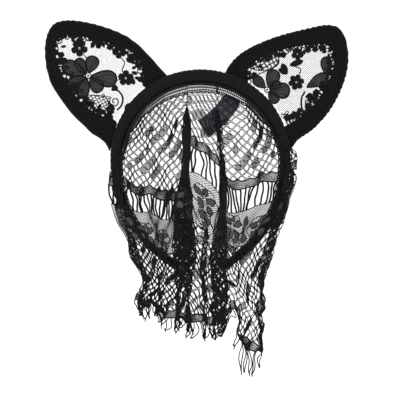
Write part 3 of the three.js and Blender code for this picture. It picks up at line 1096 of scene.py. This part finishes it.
def left_motifs(lace):
    lace.wild_flower((-90.3, 6.8), 2.2, [
        (73, 14, 12), (125, 14, 10), (156, 20, 14), (206, 16, 10), (247, 16, 13), (-50, 14, 12),
        (-9, 21, 15)])
    lace.flower((-97.4, 28.8), 6.4, 5, 1.0)
    lace.flower((-65.4, 26), 5.2, 5, 0.8)
    lace.flower((-60, 4.8), 6.0, 5, 0.3)
    lace.leaf((-59.5, 19), 0.1, 6.5, 4.2)
    lace.leaf((-52, 18.5), -1.0, 7.0, 4.4)
    lace.leaf((-116, 17.5), 0.3, 9, 4.2)
    lace.leaf((-104, 37), 0.5, 7.5, 3.8)
    lace.leaf((-84, 34), -0.2, 6, 3.2)
    lace.cord([(-91, 20), (-94, 24), (-97, 28)], half=0.4, count=8)
    lace.cord([(-64.5, 22), (-61, 17), (-63, 11), (-60, 7)], half=0.45, count=14)
    lace.cord([(-70, 2), (-66, 3.4), (-62, 4)], half=0.4, count=6)
    lace.cord([(-70, -4), (-65.5, -6), (-62.5, -11), (-63.5, -17), (-67, -21)], half=0.75, count=20)
    lace.petal((-71.5, -5), 0.6, 5.4, 4.6, veins=0)
    lace.scroll((-69, -14), 2.2, 3.8)
    lace.flower((-72.5, -20.5), 3.6, 5, 0.4)
    lace.net_patch([(-91, -9), (-84, -9), (-76, -11), (-74, -20), (-81, -22), (-88, -16)])
    lace.loops([(-91, -11), (-84, -20), (-74, -26)], 1.8, 7)
    lace.loops([(-78, -8), (-74, -14), (-71, -22)], 1.6, 5)
    lace.leaf((-60, -22), 1.2, 7, 3.8)
    lace.leaf((-104, -2), -0.7, 8, 4)
    lace.leaf((-53, 0), 2.2, 7, 3.8)


def right_motifs(lace):
    lace.wild_flower((53.6, -4.5), 2.1, [
        (66, 15, 12), (-4, 16, 14), (137, 12, 9), (-52, 11, 9), (28, 10, 7)])
    lace.flower((77, 1.5), 6.0, 6, 0.2)
    lace.petal((85.4, -2.6), 0.52, 19.5, 10.5)
    lace.petal((100, 8.4), 1.45, 13.5, 9.5)
    lace.leaf((69, 8), 1.95, 9, 5)
    lace.leaf((70, 8.5), 2.7, 8, 4)
    lace.flower((78, 24), 4.6, 5, 1.0)
    lace.leaf((72, 15), 0.35, 11, 4.4)
    lace.cord([(76, 14), (80.5, 12), (79, 7), (77.5, 4)], half=0.45, count=14)
    lace.net_patch([(39, 13), (46, 20), (58, 25), (63, 19), (57, 12.5), (47, 11)], pitch=3.2, half=0.45)
    lace.loops([(39, 14), (48, 22), (59, 26)], 1.9, 6)
    lace.cord([(37, 8), (43, 6), (49, 9), (57, 12), (63, 17), (61.5, 25)], half=0.45, count=24)
    lace.cord([(84, -6), (81.4, -11), (81.2, -18), (83.5, -24)], half=0.75, count=16)
    lace.petal((84.5, -10.5), 0.35, 5.4, 4.2, veins=0)
    lace.scroll((90, -12), 0.9, 3.6)
    lace.net_patch([(84, -13), (92, -11), (98, -14), (93, -21), (86, -22)], pitch=2.8, half=0.4)
    lace.loops([(65, -24), (74, -25), (83, -21)], 1.9, 7)
    lace.flower((70, -27), 3.0, 5, 0.6)
    lace.flower((78, -24.5), 2.8, 5, 0.2)


LACE_MARGIN = 3.0


def ear_lace(side, motifs, slant, weight, seed, ground, yarn):
    """The lace that fills an ear, its edge hidden by the border and its foot by the band."""
    inner = edge_points(EARS[side]["inner"])
    margin = inner + unit(inner - inner.mean(axis=0)) * LACE_MARGIN
    # The panel ends just above the band.
    first, last = (math.atan2(*(margin[k] - RING_CENTRE)[::-1]) for k in (0, -1))
    turn = np.linspace(last, first, 24)
    along_band = RING_CENTRE + (COVER_RADIUS + 0.5) * stacked(np.cos(turn), np.sin(turn))
    polygon = np.concatenate([margin, along_band])
    lace = EarLace()
    lace.tulle(polygon, slant, weight)
    motifs(lace)
    lace.scraps(inner, seed)
    lace.scattered(inner, seed + 1)
    panel = lace.ground.make(f"ear_lace_panel_{side}", *ground)
    cords = lace.cords.make(f"ear_lace_cords_{side}", yarn)
    for piece in (panel, cords):
        blend_ear(piece)
    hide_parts(f"ear_lace_{side}")


# ---- the veil ----

# Guide columns of the cloth. For each: its place across the flat cloth, the angle on the
# crown where it is sewn, the height of the ladder row, how much a row's spacing stretches
# above and below that row, and x at each of the levels.
LEVELS = [-15, -30, -54, -66, -95, -122, -140, -158, -173, -190, -207, -222]
COLUMNS = [
    (0, 172, -83, 1.00, 0.90, [0, -64, -66, -70, -72, -60, -55, -46, -52.5, -48, -46, -46]),
    (27, 153, -86, 1.05, 0.90, [0, -58, -59, -59, -58, -50, -46, -41, -44, -42, -41, -41]),
    (42, 135, -90, 1.10, 0.88, [-43, -44, -45, -45.5, -44, -40, -38, -34, -37, -36, -35, -35]),
    (60, 117, -93.5, 1.20, 0.87, [-27.5, -28, -28.5, -29.5, -31, -31, -31, -31, -32, -32, -32, -32]),
    (75.4, 100, -95.5, 1.35, 0.86, [-10.9, -14.8, -13.4, -15, -21, -24, -26, -28, -29, -29, -29, -29]),
    (156.6, 100, -49, 1.20, 1.18, [-10.9, -7.8, -9.2, -8.6, -6.4, -1.9, -0.8, 0.2, 1.2, 2.6, 3, 3]),
    (176.9, 78, -67, 1.15, 1.10, [12.8, 11.8, 14, 15.5, 15, 10.2, 6.6, 4.4, 4.2, 5, 5, 5]),
    (237.8, 78, -84, 1.15, 1.00, [12.9, 15.8, 17.4, 19, 20.8, 21.2, 22, 23.4, 24, 24, 22, 22]),
    (240.7, 77, -84.5, 1.15, 1.05, [14.6, 15.4, 18.6, 20.4, 22.8, 23.6, 24.4, 26.5, 28.4, 28.4, 27, 27]),
    (257, 55, -84, 1.12, 1.10, [36, 37, 39, 40, 39, 34, 32, 34, 37, 37, 35, 34]),
    (280, 33, -76, 1.08, 1.16, [52, 54, 63, 66, 64, 53, 48, 46, 50.5, 51, 49, 47]),
    (314, 17, -70.5, 1.00, 1.18, [61, 64, 75, 76, 71, 61, 56, 50, 47, 45, 45, 45]),
]
# Columns where a pleat bundle starts: its folds, and the height where it opens. One without
# such a height is sewn flat and folds up lower down.
PLEATS = {0: (3, None), 4: (5, -14.0), 5: (3, None), 6: (3, -16.0), 10: (5, None)}
# The hem's height at places across the cloth, with the tail at the right.
HEM = [(0, -173), (27, -177), (42, -179), (60, -183), (75, -186), (115, -189), (155, -190),
       (177, -191), (229, -192), (237, -180), (241, -180), (246, -204), (257, -210), (280, -216),
       (286, -190), (296, -171), (314, -166)]
VEIL_WIDTH = COLUMNS[-1][0]
ACROSS = [c[0] for c in COLUMNS]
SEWN_RADIUS = CROWN_RADIUS - HALF_THICKNESS - GAP - LINING_THICKNESS - 0.4
# Depths of the cloth along Y where it is sewn, on the line where it folds and at the hem,
# and the heights of the last two.
SEWN_DEPTH = -4.8
FOLD_DEPTH = -8.6
HEM_DEPTH = -12.0
FOLD_HEIGHT = RING_Z - 1.0
HEM_HEIGHT = -236.0
# Heights below which flat-sewn cloth folds, bundles loosen and the cloth crumples.
FOLDED_BELOW = -50.0
LOOSER_BELOW = -130.0
CRUMPLED_BELOW = -148.0
PLEAT_STEP = 1.25


def ladder_top(u):
    return smooth_read(ACROSS, [c[2] for c in COLUMNS], u)


def sewn_height(u):
    angle = np.interp(u, ACROSS, [c[1] for c in COLUMNS])
    height = RING_Z + SEWN_RADIUS * np.sin(np.radians(angle))
    for k, (_, opens) in PLEATS.items():
        if opens:
            inner = (u > ACROSS[k]) & (u < ACROSS[k + 1])
            height = np.where(inner, opens + 1.5 * np.sin(u), height)
    return height


def stretch_above(u):
    return np.interp(u, ACROSS, [c[3] for c in COLUMNS])


def stretch_below(u):
    return np.interp(u, ACROSS, [c[4] for c in COLUMNS])


def top_row(u):
    """Where the cloth is sewn on, as a distance down the cloth from the ladder row."""
    return (ladder_top(u) - sewn_height(u)) / stretch_above(u)


def hem_row(u):
    return (ladder_top(u) - np.interp(u, *zip(*HEM))) / stretch_below(u)


def column_x(column, z):
    """x of a guide column at heights z, from where it is sewn down through the levels."""
    angle = math.radians(column[1])
    top = RING_Z + SEWN_RADIUS * math.sin(angle)
    # Levels beside or above the sewn edge don't count.
    below = [k for k, level in enumerate(LEVELS) if level < top - 6]
    heights = [top] + [LEVELS[k] for k in below]
    values = [SEWN_RADIUS * math.cos(angle)] + [column[5][k] for k in below]
    return smooth_read(heights, values, z)


def folded(share, folds, z):
    """Place across a pleat bundle, from 0 to 1, for a share of its cloth."""
    g = np.clip(share, 0, 1) * folds
    fold = np.minimum(np.floor(g), folds - 1)
    part = g - fold
    eased = 0.5 * part + 0.5 * (0.5 - 0.5 * np.cos(math.pi * part))

    def turn_at(j):
        inset = 0.07 + 0.06 * np.sin(0.055 * z + 2.1 * j)
        inset = np.where((j == 0) | (j == folds), 0, inset)
        return np.where(j % 2 == 0, inset, 1 - inset)

    a, b = turn_at(fold), turn_at(fold + 1)
    return a + (b - a) * eased


def bundle_amount(k, a, b, z):
    """How fully bundle k is folded where its edges are at a and b: 0 is flat."""
    folds, opens = PLEATS[k]
    cloth = ACROSS[k + 1] - ACROSS[k]
    surplus = (cloth / np.maximum(np.abs(b - a), 0.5) - 1) / (folds - 1)
    surplus *= 1.5 - 0.8 * np.clip((LOOSER_BELOW - z) / 35, 0, 1)
    low = 1.0 if opens else np.clip((FOLDED_BELOW - z) / 25, 0, 1)
    return np.clip(surplus, 0, 1) * low


def veil_surface(uv):
    """Points of the hung veil for cloth coordinates: across, and down from the ladder row."""
    u, v = np.clip(uv[:, 0], 0, VEIL_WIDTH), uv[:, 1]
    z = ladder_top(u) - v * np.where(v > 0, stretch_below(u), stretch_above(u))
    top = sewn_height(u)
    edges = [column_x(column, z) for column in COLUMNS]
    x = np.zeros_like(u)
    forward = np.zeros_like(u)
    for k in range(len(COLUMNS) - 1):
        here = (u >= ACROSS[k]) & ((u < ACROSS[k + 1]) | (k == len(COLUMNS) - 2))
        share = (u - ACROSS[k]) / (ACROSS[k + 1] - ACROSS[k])
        across = share
        if k in PLEATS:
            folds = PLEATS[k][0]
            amount = bundle_amount(k, edges[k], edges[k + 1], z)
            across = share + amount * (folded(share, folds, z) - share)
            settle = np.clip((u - ACROSS[k + 1]) / 20, 0, 1)
            forward += amount * folds * (np.clip(share, 0, 1) - settle)
        x = np.where(here, edges[k] + (edges[k + 1] - edges[k]) * across, x)
    hung = np.clip((top - z) / 25, 0, 1)
    down = np.clip(z / FOLD_HEIGHT, 0, 1)
    y = SEWN_DEPTH + (FOLD_DEPTH - SEWN_DEPTH) * down
    low = np.clip((z - FOLD_HEIGHT) / (HEM_HEIGHT - FOLD_HEIGHT), 0, 1)
    y = y + (HEM_DEPTH - FOLD_DEPTH) * low
    # The cloth's waves are sums of height * sin(place / length), in millimetres.
    ripple = 0.7 * np.sin(u / 5.1 + z / 31) + 0.5 * np.sin(u / 2.3 - z / 19) + 0.3 * np.sin(z / 6 + u)
    y = y - PLEAT_STEP * forward * (0.25 + 0.75 * hung) + ripple * hung * 0.7
    wander = 0.8 * np.sin(z / 8.0 + u / 4.7) + 0.5 * np.sin(z / 4.3 - u / 2.3)
    sway = 0.7 * np.sin(u / 5.3 - z / 9.0) + 0.45 * np.sin(u / 2.6 + z / 4.0)
    crumple = np.clip((CRUMPLED_BELOW - z) / 30, 0, 1)
    x = x + wander * hung + crumple * 0.9 * np.sin(z / 3.1 + u / 4.4)
    z = z + sway * hung + crumple * (0.9 * np.sin(u / 3.3 + z / 5) + 0.6 * np.sin(u / 1.4 - z / 7))
    return stacked(x, y, z)


def veil_place(uv):
    """Positions and normals on the hung veil."""
    here = veil_surface(uv)
    step = 0.15
    across = veil_surface(uv + [step, 0]) - veil_surface(uv - [step, 0])
    down = veil_surface(uv + [0, step]) - veil_surface(uv - [0, step])
    return here, unit(np.cross(across, down))


# The net's threads lie NET_PITCH apart and swing once in NET_PERIOD. Each is three strands,
# given by their distance apart and their half width, above the ladder and below the mesh.
NET_PITCH = 2.9
NET_PERIOD = 5.8
NET_SWING = 0.78
UPPER_NET = (0.56, 0.19)
LOWER_NET = (0.62, 0.27)
# Distances below the sewn edge: the header's cords, its lower edge and the arched threads.
HEADER_CORDS = (-0.4, 0.5, 2.2, 4.0)
HEADER = 6.5
HEADER_ARCHES = (8.2, 9.8, 11.6, 13.6, 15.8)
BAND_HEIGHT = 7.5
SCALLOP = 24.0
HEM_BAND = 5.5
# A filled hole has BLOCK_THREADS threads, and an arch of the ladder ARCH.
BLOCK_THREADS = 8
BLOCK_PITCH = 0.56
LADDER_PITCH = 3.05
ARCH = 8
MOTIF_PITCH = 25.65


def ladder_length(u):
    """How far the ladder's open threads reach down the cloth."""
    return np.interp(u, [0, 75, 155, 177, 241, 257, 314], [16, 17, 18, 20, 20, 16, 8])


def scallop(u, depth=2.6):
    return depth * np.abs(np.sin(math.pi * u / SCALLOP))


def band_low(u):
    """Lower edge of the dense band over the ladder."""
    return -2.6 + scallop(u)


def band_high(u):
    return band_low(u) - BAND_HEIGHT + 2.0 * np.abs(np.sin(math.pi * u / 8.0))


def hem_low(u):
    return hem_row(u) - 2.5 + scallop(u + 7, 2.5)


def hem_high(u):
    return hem_low(u) - HEM_BAND


def mesh_top(u):
    return ladder_length(u) - 1.2 * scallop(u + 12, 1.5)


def mesh_height(u):
    return np.interp(u, [0, 75, 155, 177, 241, 314], [29, 31, 39, 39, 29, 27])


def mesh_low(u):
    return ladder_length(u) + mesh_height(u) - scallop(u, 3.5)


def net_wave(v):
    s = np.sin(2 * math.pi * v / NET_PERIOD)
    return np.sign(s) * np.abs(s) ** 0.7


class VeilLace:
    """The lace of one stretch of the veil, from u0 to u1 across the flat cloth."""

    def __init__(self, u0, u1):
        self.u0, self.u1 = u0, u1
        self.shape = Shape()

    def threads(self, paths, half_width, half_height):
        add_threads(self.shape, paths, veil_place, half_width, half_height)

    def edge(self, spacing):
        """Places across this stretch of cloth, about the given spacing apart."""
        return np.linspace(self.u0, self.u1, int((self.u1 - self.u0) / spacing))

    def lines(self):
        first, last = (math.ceil(u / NET_PITCH - 0.01) for u in (self.u0, self.u1))
        return range(first, last)

    def net_thread(self, i, low, high, strand):
        """Three strands side by side that swing towards each neighbour in turn."""
        u = i * NET_PITCH
        v = np.arange(low, high, NET_PERIOD / 8)
        if len(v) < 3:
            return []
        swing = NET_SWING * net_wave(v) * (-1) ** i
        return [stacked(u + swing + offset, v) for offset in (-strand, 0, strand)]

    def net_ties(self, i, low, high):
        """Short bars across each narrow slit between this thread and the next."""
        u = i * NET_PITCH
        ties = []
        for m in range(math.ceil(low / NET_PERIOD), int(high / NET_PERIOD)):
            v = (m + (0.25 if i % 2 == 0 else 0.75)) * NET_PERIOD
            for rise in (-0.65, 0.65):
                ties.append(np.array([(u + 0.8, v + rise), (u + NET_PITCH - 0.8, v + rise)]))
        return ties

    def net(self):
        """The net above the ladder's band and below the fine mesh."""
        under_mesh = UPPER_NET if self.u0 > TAIL_FROM - 10 else LOWER_NET
        for zone, (strand, yarn) in (("upper", UPPER_NET), ("lower", under_mesh)):
            paths, ties = [], []
            for i in self.lines():
                u = i * NET_PITCH
                if zone == "upper":
                    low, high = top_row(u) + HEADER - 2, band_high(u) + 0.5
                else:
                    low, high = mesh_low(u) - 0.5, hem_high(u) + 0.5
                paths += self.net_thread(i, low, high, strand)
                ties += self.net_ties(i, low, high)
            self.threads(paths, yarn, 0.17)
            self.threads(ties, 0.25, 0.18)

    def blocks(self):
        """Holes filled with close slanting threads, set in rosettes."""
        paths = []
        for i in self.lines():
            u = (i + 0.5) * NET_PITCH
            low, high = top_row(u) + HEADER + 3, hem_high(u) - 3
            for m in range(int(low / NET_PERIOD) - 1, int(high / NET_PERIOD) + 1):
                v = (m + (0.75 if i % 2 == 0 else 0.25)) * NET_PERIOD
                in_net = low < v < band_high(u) - 3 or mesh_low(u) + 3 < v < high
                if not in_net or not self.in_rosette(i, m, v):
                    continue
                for k in range(BLOCK_THREADS):
                    rise = (k - (BLOCK_THREADS - 1) / 2) * BLOCK_PITCH
                    paths.append(np.array([
                        (u - 1.6, v + rise + 0.7), (u, v + rise), (u + 1.6, v + rise - 0.7)]))
        self.threads(paths, 0.23, 0.15)

    @staticmethod
    def in_rosette(i, m, v):
        """True for the holes of the net, counted across and down, that are filled."""
        row = 2 * m + 1 - i % 2
        stripe, place = (i + row + 1) // 2, (i - row + 1) // 2
        if stripe % 2 or place % 5 == 0:
            return False
        if v > 0:
            return (i // 4 + m // 2) % 2 == 0
        return -50 < v < -14 and (i // 5 + (m + 1) // 4) % 3 != 0

    def band(self, low, high):
        """A dense band: crossing slanted threads between two edging cords."""
        u = self.edge(1.2)
        edges = [stacked(u, low(u)), stacked(u, high(u))]
        self.threads(edges, 0.5, 0.32)
        paths = []
        for start in np.arange(self.u0, self.u1, 0.8):
            for lean in (2.4, -2.4):
                t = np.linspace(0, 1, 4)
                across = np.clip(start + lean * t, 0, VEIL_WIDTH)
                v = high(across) + (low(across) - high(across)) * t
                paths.append(stacked(across, v))
        self.threads(paths, 0.24, 0.18)

    def ladder(self):
        """Long open threads, drawn together in arches."""
        paths = []
        for k in range(math.ceil(self.u0 / LADDER_PITCH), math.ceil(self.u1 / LADDER_PITCH)):
            u = k * LADDER_PITCH
            group = k % ARCH - (ARCH - 1) / 2
            end = u - 0.34 * group * (1 if k % (2 * ARCH) < ARCH else -0.6)
            if k % ARCH == 5:
                end -= 2.2
            t = np.linspace(0, 1, 7)
            bow = 0.8 * np.sin(math.pi * t) * math.sin(k * 1.3) + 0.35 * np.sin(9 * t + k)
            low, high = float(band_low(u)) - 0.3, float(mesh_top(end)) + 0.3
            across = np.clip(u + (end - u) * t + bow, 0, VEIL_WIDTH)
            paths.append(stacked(across, low + (high - low) * t))
        self.threads(paths, 0.76, 0.4)

    def fine_mesh(self):
        """A fine ground of threads on both diagonals."""
        paths = []
        height, spacing = 40.0, 1.6
        t = np.arange(0, height, spacing)
        for slope in (1, -1):
            for start in np.arange(self.u0 - height, self.u1 + height, spacing):
                u = start + slope * t
                v = mesh_top(u) + t
                keep = (u > self.u0 - spacing) & (u < self.u1 + spacing) & (v <= mesh_low(u) + 1.0)
                u = np.clip(u, self.u0, self.u1)
                paths += stretches(stacked(u, v), keep, 1)
        self.threads(paths, 0.21, 0.168)

    def header(self):
        """The close upper edge that is sewn to the band, with small scallops."""
        u = self.edge(0.9)
        edges = [stacked(u, top_row(u) + depth) for depth in HEADER_CORDS]
        low = top_row(u) + HEADER - 1.2 * np.abs(np.sin(math.pi * u / 4.0))
        self.threads(edges + [stacked(u, low)], 0.42, 0.28)
        arches = []
        for depth in HEADER_ARCHES:
            waving = 0.55 * np.sin(2 * math.pi * u / NET_PITCH + depth)
            arches.append(stacked(u, top_row(u) + depth + waving))
        self.threads(arches, 0.2, 0.16)
        t = np.array([0, 1.0])
        rungs = []
        for start in np.arange(self.u0, self.u1, 1.1):
            for lean in (0.9, -0.9):
                across = np.clip(start + lean * t, self.u0, self.u1)
                rungs.append(stacked(across, top_row(across) + 0.3 + t * (HEADER - 1)))
        self.threads(rungs, 0.24, 0.18)

    def flowers(self):
        """Worked motifs on the fine ground: dark petals round an open flower."""
        for k in range(int(VEIL_WIDTH / MOTIF_PITCH) + 1):
            u = (k + 0.5) * MOTIF_PITCH
            if not self.u0 + 5 < u < self.u1 - 5:
                continue
            places = (0.32, 0.72) if k % 3 == 0 else (0.6,)
            for share in places:
                self.motif(u, float(ladder_length(u) + mesh_height(u) * share))
            between = u - MOTIF_PITCH / 2
            for share in (0.35, 0.75):
                if self.u0 + 4 < between < self.u1 - 4:
                    v = float(ladder_length(u) + mesh_height(u) * share)
                    self.diamond(between, v, 2.6, 3.4)

    def motif(self, u, v):
        """Five petals, as (angle, distance, half length, half width), inside a lobed ring."""
        petals = ((0.8, 6.0, 2.9, 2.1), (2.3, 5.2, 2.3, 2.7), (-0.6, 5.2, 3.3, 2.2),
                  (-1.6, 5.6, 2.2, 1.7), (-2.5, 5.6, 2.9, 2.4))
        for angle, reach, long, wide in petals:
            centre = (u + reach * math.cos(angle), v + reach * math.sin(angle))
            self.diamond(*centre, long, wide, angle)
        t = whole_turn(15, to_end=True)
        lobes = 2.1 + 0.5 * np.cos(5 * t)
        self.threads([stacked(u + lobes * np.cos(t), v + lobes * np.sin(t))], 0.35, 0.3)
        around = whole_turn(31, to_end=True)
        wide = 9.0 + 0.8 * np.cos(6 * around)
        ring = stacked(u + wide * np.cos(around), v + wide * np.sin(around))
        self.threads([ring], 0.38, 0.3)

    def diamond(self, u, v, half_across, half_down, turn=0.0):
        """A filled diamond with rounded, slightly uneven corners."""
        t = whole_turn(14)
        lobed = 1 + 0.12 * np.cos(3 * t + u)
        x = 1.12 * half_across * lobed * np.sign(np.cos(t)) * np.abs(np.cos(t)) ** 1.3
        y = 1.12 * half_down * lobed * np.sign(np.sin(t)) * np.abs(np.sin(t)) ** 1.3
        outline = turned(stacked(x, y), turn, (u, v))
        add_plate(self.shape, outline, np.array([u, v]), veil_place, 0.45, slot=1)
        self.threads([closed(outline)], 0.3, 0.3)

    def build(self, name, *materials):
        # A bundle's top is gathered, without a header.
        if "panel" in name:
            self.header()
        self.net()
        self.blocks()
        self.band(band_low, band_high)
        self.ladder()
        self.fine_mesh()
        edge = self.edge(1.2)
        self.threads([stacked(edge, f(edge)) for f in (mesh_top, mesh_low)], 0.36, 0.28)
        self.flowers()
        self.band(hem_low, hem_high)
        return self.shape.make(name, *materials)


VEIL_PARTS = {
    "veil_panel_left": (0.0, 75.4),
    "veil_pleats_left": (75.4, 156.6),
    "veil_panel_centre": (156.6, 176.9),
    "veil_pleats_right": (176.9, 237.8),
    "veil_panel_right": (237.8, 314.0),
}


def blend_veil(piece):
    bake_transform(piece)


# The long tail at the right, and where its fringe ends.
TAIL_FROM = 241.0
FRINGE_END = 284.0
HEM_LOOP_PITCH = 5.6
TAIL_LOOP_PITCH = 7.4


def veil_fringe(material):
    """Eyelash loops along the hem: two threads that meet in a small knot."""
    shape = Shape()
    paths = []
    random = np.random.default_rng(11)
    hem_loops = np.arange(2.5, TAIL_FROM, HEM_LOOP_PITCH)
    tail_loops = np.arange(TAIL_FROM + 3, FRINGE_END, TAIL_LOOP_PITCH)
    for u in (*hem_loops, *tail_loops):
        length = random.uniform(16, 21) if u > TAIL_FROM else random.uniform(8, 13)
        lean = random.uniform(-3.4, 2.4)
        wide = random.uniform(1.5, 2.6)
        bend = random.uniform(-0.8, 0.8)
        t = np.linspace(0, 1, 10)
        swell = wide * np.sin(math.pi * (t * 0.92 + 0.08)) ** 0.8
        middle = u + lean * t * t + bend * np.sin(2 * math.pi * t)
        start = float(hem_low(u)) - 0.3
        for sign in (-1, 1):
            across = np.clip(middle + sign * swell, 0, VEIL_WIDTH)
            paths.append(stacked(across, start + length * t))
        foot = np.array([middle[-1], start + length])
        paths.append(foot + np.array([(-1.1, -0.9), (0, -0.2), (1.0, -0.6)]))
        if random.random() < 0.5:
            paths.append(foot + np.array([(0, -0.4), (0.4, 0.9), (-0.2, 2.0)]))
    add_threads(shape, paths, veil_place, 0.5, 0.38, sides=5)
    fringe = shape.make("veil_fringe", material)
    blend_veil(fringe)
    return fringe


def make_veil(yarn, fill):
    fringe = veil_fringe(yarn)
    for name, (u0, u1) in VEIL_PARTS.items():
        piece = VeilLace(u0, u1).build(name, yarn, fill)
        blend_veil(piece)
        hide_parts("veil_upper", "veil_lower")


HEADER_SHIFT = -4.7
HEADER_REACH = 82.0


def header_tape(cloth, thread):
    """The tape that holds the veil's upper edge, with its row of stitches."""
    first, last = 90 - HEADER_REACH, 90 + HEADER_REACH
    shape = Shape()
    add_loft(shape, tape_rings(np.linspace(first, last, 420), [-1.3, 0, 1.3], HEADER_SHIFT, rib=0.04))
    starts = np.arange(first + 1, last - 2, 2.6)
    stitches = [np.array([(s, 0.25), (s + 0.7, 0.05), (s + 1.5, -0.2)]) for s in starts]
    add_threads(shape, stitches, tape_place(0.08, HEADER_SHIFT), 0.2, 0.15, slot=1)
    tape = shape.make("header_tape", cloth, thread)
    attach(tape, "crown")
    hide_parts("veil_header_tape")


# ---- the label ----

LABEL_WIDTH = 16.0
LABEL_LENGTH = 36.0
LABEL_BEND = 1.6
LABEL_HALF = 0.175
LABEL_TILT = math.radians(43)
LABEL_SWING = math.radians(30)
LABEL_CUP = 9.0
LABEL_TOP = np.array([26.8, 2.6, -9.4])


def label_ribbon(material, thread):
    """A blank satin ribbon, folded double and sewn in at its top."""
    straight = LABEL_LENGTH - LABEL_BEND
    down = np.linspace(0, straight, 22)
    turn = np.linspace(0, math.pi, 9)[1:-1]
    # The middle line of the doubled ribbon, as (backward, down).
    line = np.concatenate([
        stacked(np.full_like(down, -LABEL_BEND), down),
        stacked(-LABEL_BEND * np.cos(turn), straight + LABEL_BEND * np.sin(turn)),
        stacked(np.full_like(down, LABEL_BEND), down[::-1]),
    ])
    # The two leaves meet at the sewn end and bow apart a little below it.
    pinch = 0.3 + 0.7 * np.clip(line[:, 1] / 9, 0, 1)
    line[:, 0] *= pinch
    run = unit(np.gradient(line, axis=0))
    normal = stacked(run[:, 1], -run[:, 0])
    across = np.linspace(-LABEL_WIDTH / 2, LABEL_WIDTH / 2, 17)
    profile = [(a, 1) for a in across] + [(a, -1) for a in across[::-1]]
    run_down = np.linspace(0, LABEL_LENGTH, 40)
    lean = LABEL_TILT + LABEL_SWING * (run_down / LABEL_LENGTH - 0.5)
    step = run_down[1]
    aside = np.cumsum(np.sin(lean)) * step
    fallen = np.cumsum(np.cos(lean)) * step

    def hang(a, back, low):
        share = np.clip(low / LABEL_LENGTH, 0, 1)
        angle = LABEL_TILT + LABEL_SWING * (share - 0.5)
        cup = LABEL_CUP + 40 * share
        width = cup * np.sin(a / cup)
        curl = cup * (1 - np.cos(a / cup)) + 0.25 * np.sin(low / 6 + a / 5)
        x = LABEL_TOP[0] + width * np.cos(angle) - np.interp(low, run_down, aside)
        z = LABEL_TOP[2] - width * np.sin(angle) - np.interp(low, run_down, fallen)
        return stacked(x, LABEL_TOP[1] + back + curl - 1.0, z)

    rings = []
    for a, face in profile:
        back, low = (line + normal * face * LABEL_HALF).T
        rings.append(hang(np.full_like(low, a), back, low))
    rings = np.stack(rings, axis=1)
    shape = Shape()
    add_loft(shape, rings)
    t = np.linspace(-LABEL_WIDTH / 2 + 1, LABEL_WIDTH / 2 - 1, 24)

    def on_label(coordinates):
        a, low = coordinates.T
        here = hang(a, np.full_like(a, -LABEL_BEND * 0.45), low)
        return here, np.tile([0.0, -1.0, 0.0], (len(a), 1))

    zigzag = stacked(t, 1.2 + 0.5 * (-1.0) ** np.arange(len(t)))
    add_threads(shape, [zigzag], on_label, 0.18, 0.14, slot=1)
    ribbon = shape.make("label_ribbon", material, thread)
    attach(ribbon, "crown")
    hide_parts("blank_label")


# ---- the pieces that stay as packed ----


def finish_hidden_nodes():
    spring = steel("spring_steel_strip", (0.42, 0.43, 0.45), (0.56, 0.57, 0.6), 0.3)
    wire = steel("wire_steel_drawn", (0.46, 0.47, 0.49), (0.6, 0.61, 0.63), 0.36)
    wadding = wadding_material()
    kinds = {"band_core": (spring, "spring_steel"), "band_padding": (wadding, "wadding"),
             "ear_wire": (wire, "wire_steel"), "wire_leg": (wire, "wire_steel")}
    for name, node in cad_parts.items():
        for start, (material, slot) in kinds.items():
            if name.startswith(start):
                node.data.materials.clear()
                node.data.materials.append(material)


def build():
    make_camera()
    make_light()
    make_floor()
    cover = woven("cover_cloth", (0.0012, 0.001, 0.0016), (0.006, 0.0053, 0.008),
                  pitch=0.55, relief=0.14, roughness=0.8, sheen=0.02, specular=0.14)
    border = woven("border_cloth", (0.001, 0.0009, 0.0012), (0.0045, 0.004, 0.005),
                   pitch=0.5, relief=0.14, roughness=0.85, sheen=0.02, specular=0.1)
    lace = thread_material("lace_yarn", (0.0015, 0.0014, 0.0017), (0.008, 0.0075, 0.0085))
    overlay = thread_material("overlay_yarn", (0.0012, 0.0011, 0.0015), (0.007, 0.0062, 0.008))
    fill = woven("petal_stitch", (0.026, 0.024, 0.027), (0.085, 0.078, 0.086),
                 pitch=0.42, relief=0.15, roughness=0.8, sheen=0.05, specular=0.12)
    tulle = thread_material("tulle_yarn", (0.02, 0.019, 0.02), (0.07, 0.066, 0.07), pitch=0.3)
    ribbon = grosgrain("grosgrain_tape", (0.002, 0.0018, 0.003), (0.01, 0.009, 0.013))
    stitching = thread_material("sewing_thread", (0.003, 0.0028, 0.0036), (0.014, 0.013, 0.016),
                                pitch=0.3)
    gloss = satin("violet_satin", (0.042, 0.038, 0.058), (0.076, 0.069, 0.104))
    finish_hidden_nodes()
    header_tape(ribbon, stitching)
    for side in HALVES:
        wrap_band(side, cover)
        band_lace(side, overlay)
        lining_tape(side, ribbon, stitching)
        tip_wrap(side, cover)
        ear_border(side, border)
        border_lace(side, overlay)
    ear_lace("left", left_motifs, math.radians(-38), 0.13, 3, (fill, tulle, lace), lace)
    ear_lace("right", right_motifs, math.radians(42), 0.2, 8, (fill, tulle, lace), lace)
    label_ribbon(gloss, stitching)
    make_veil(lace, fill)


build()
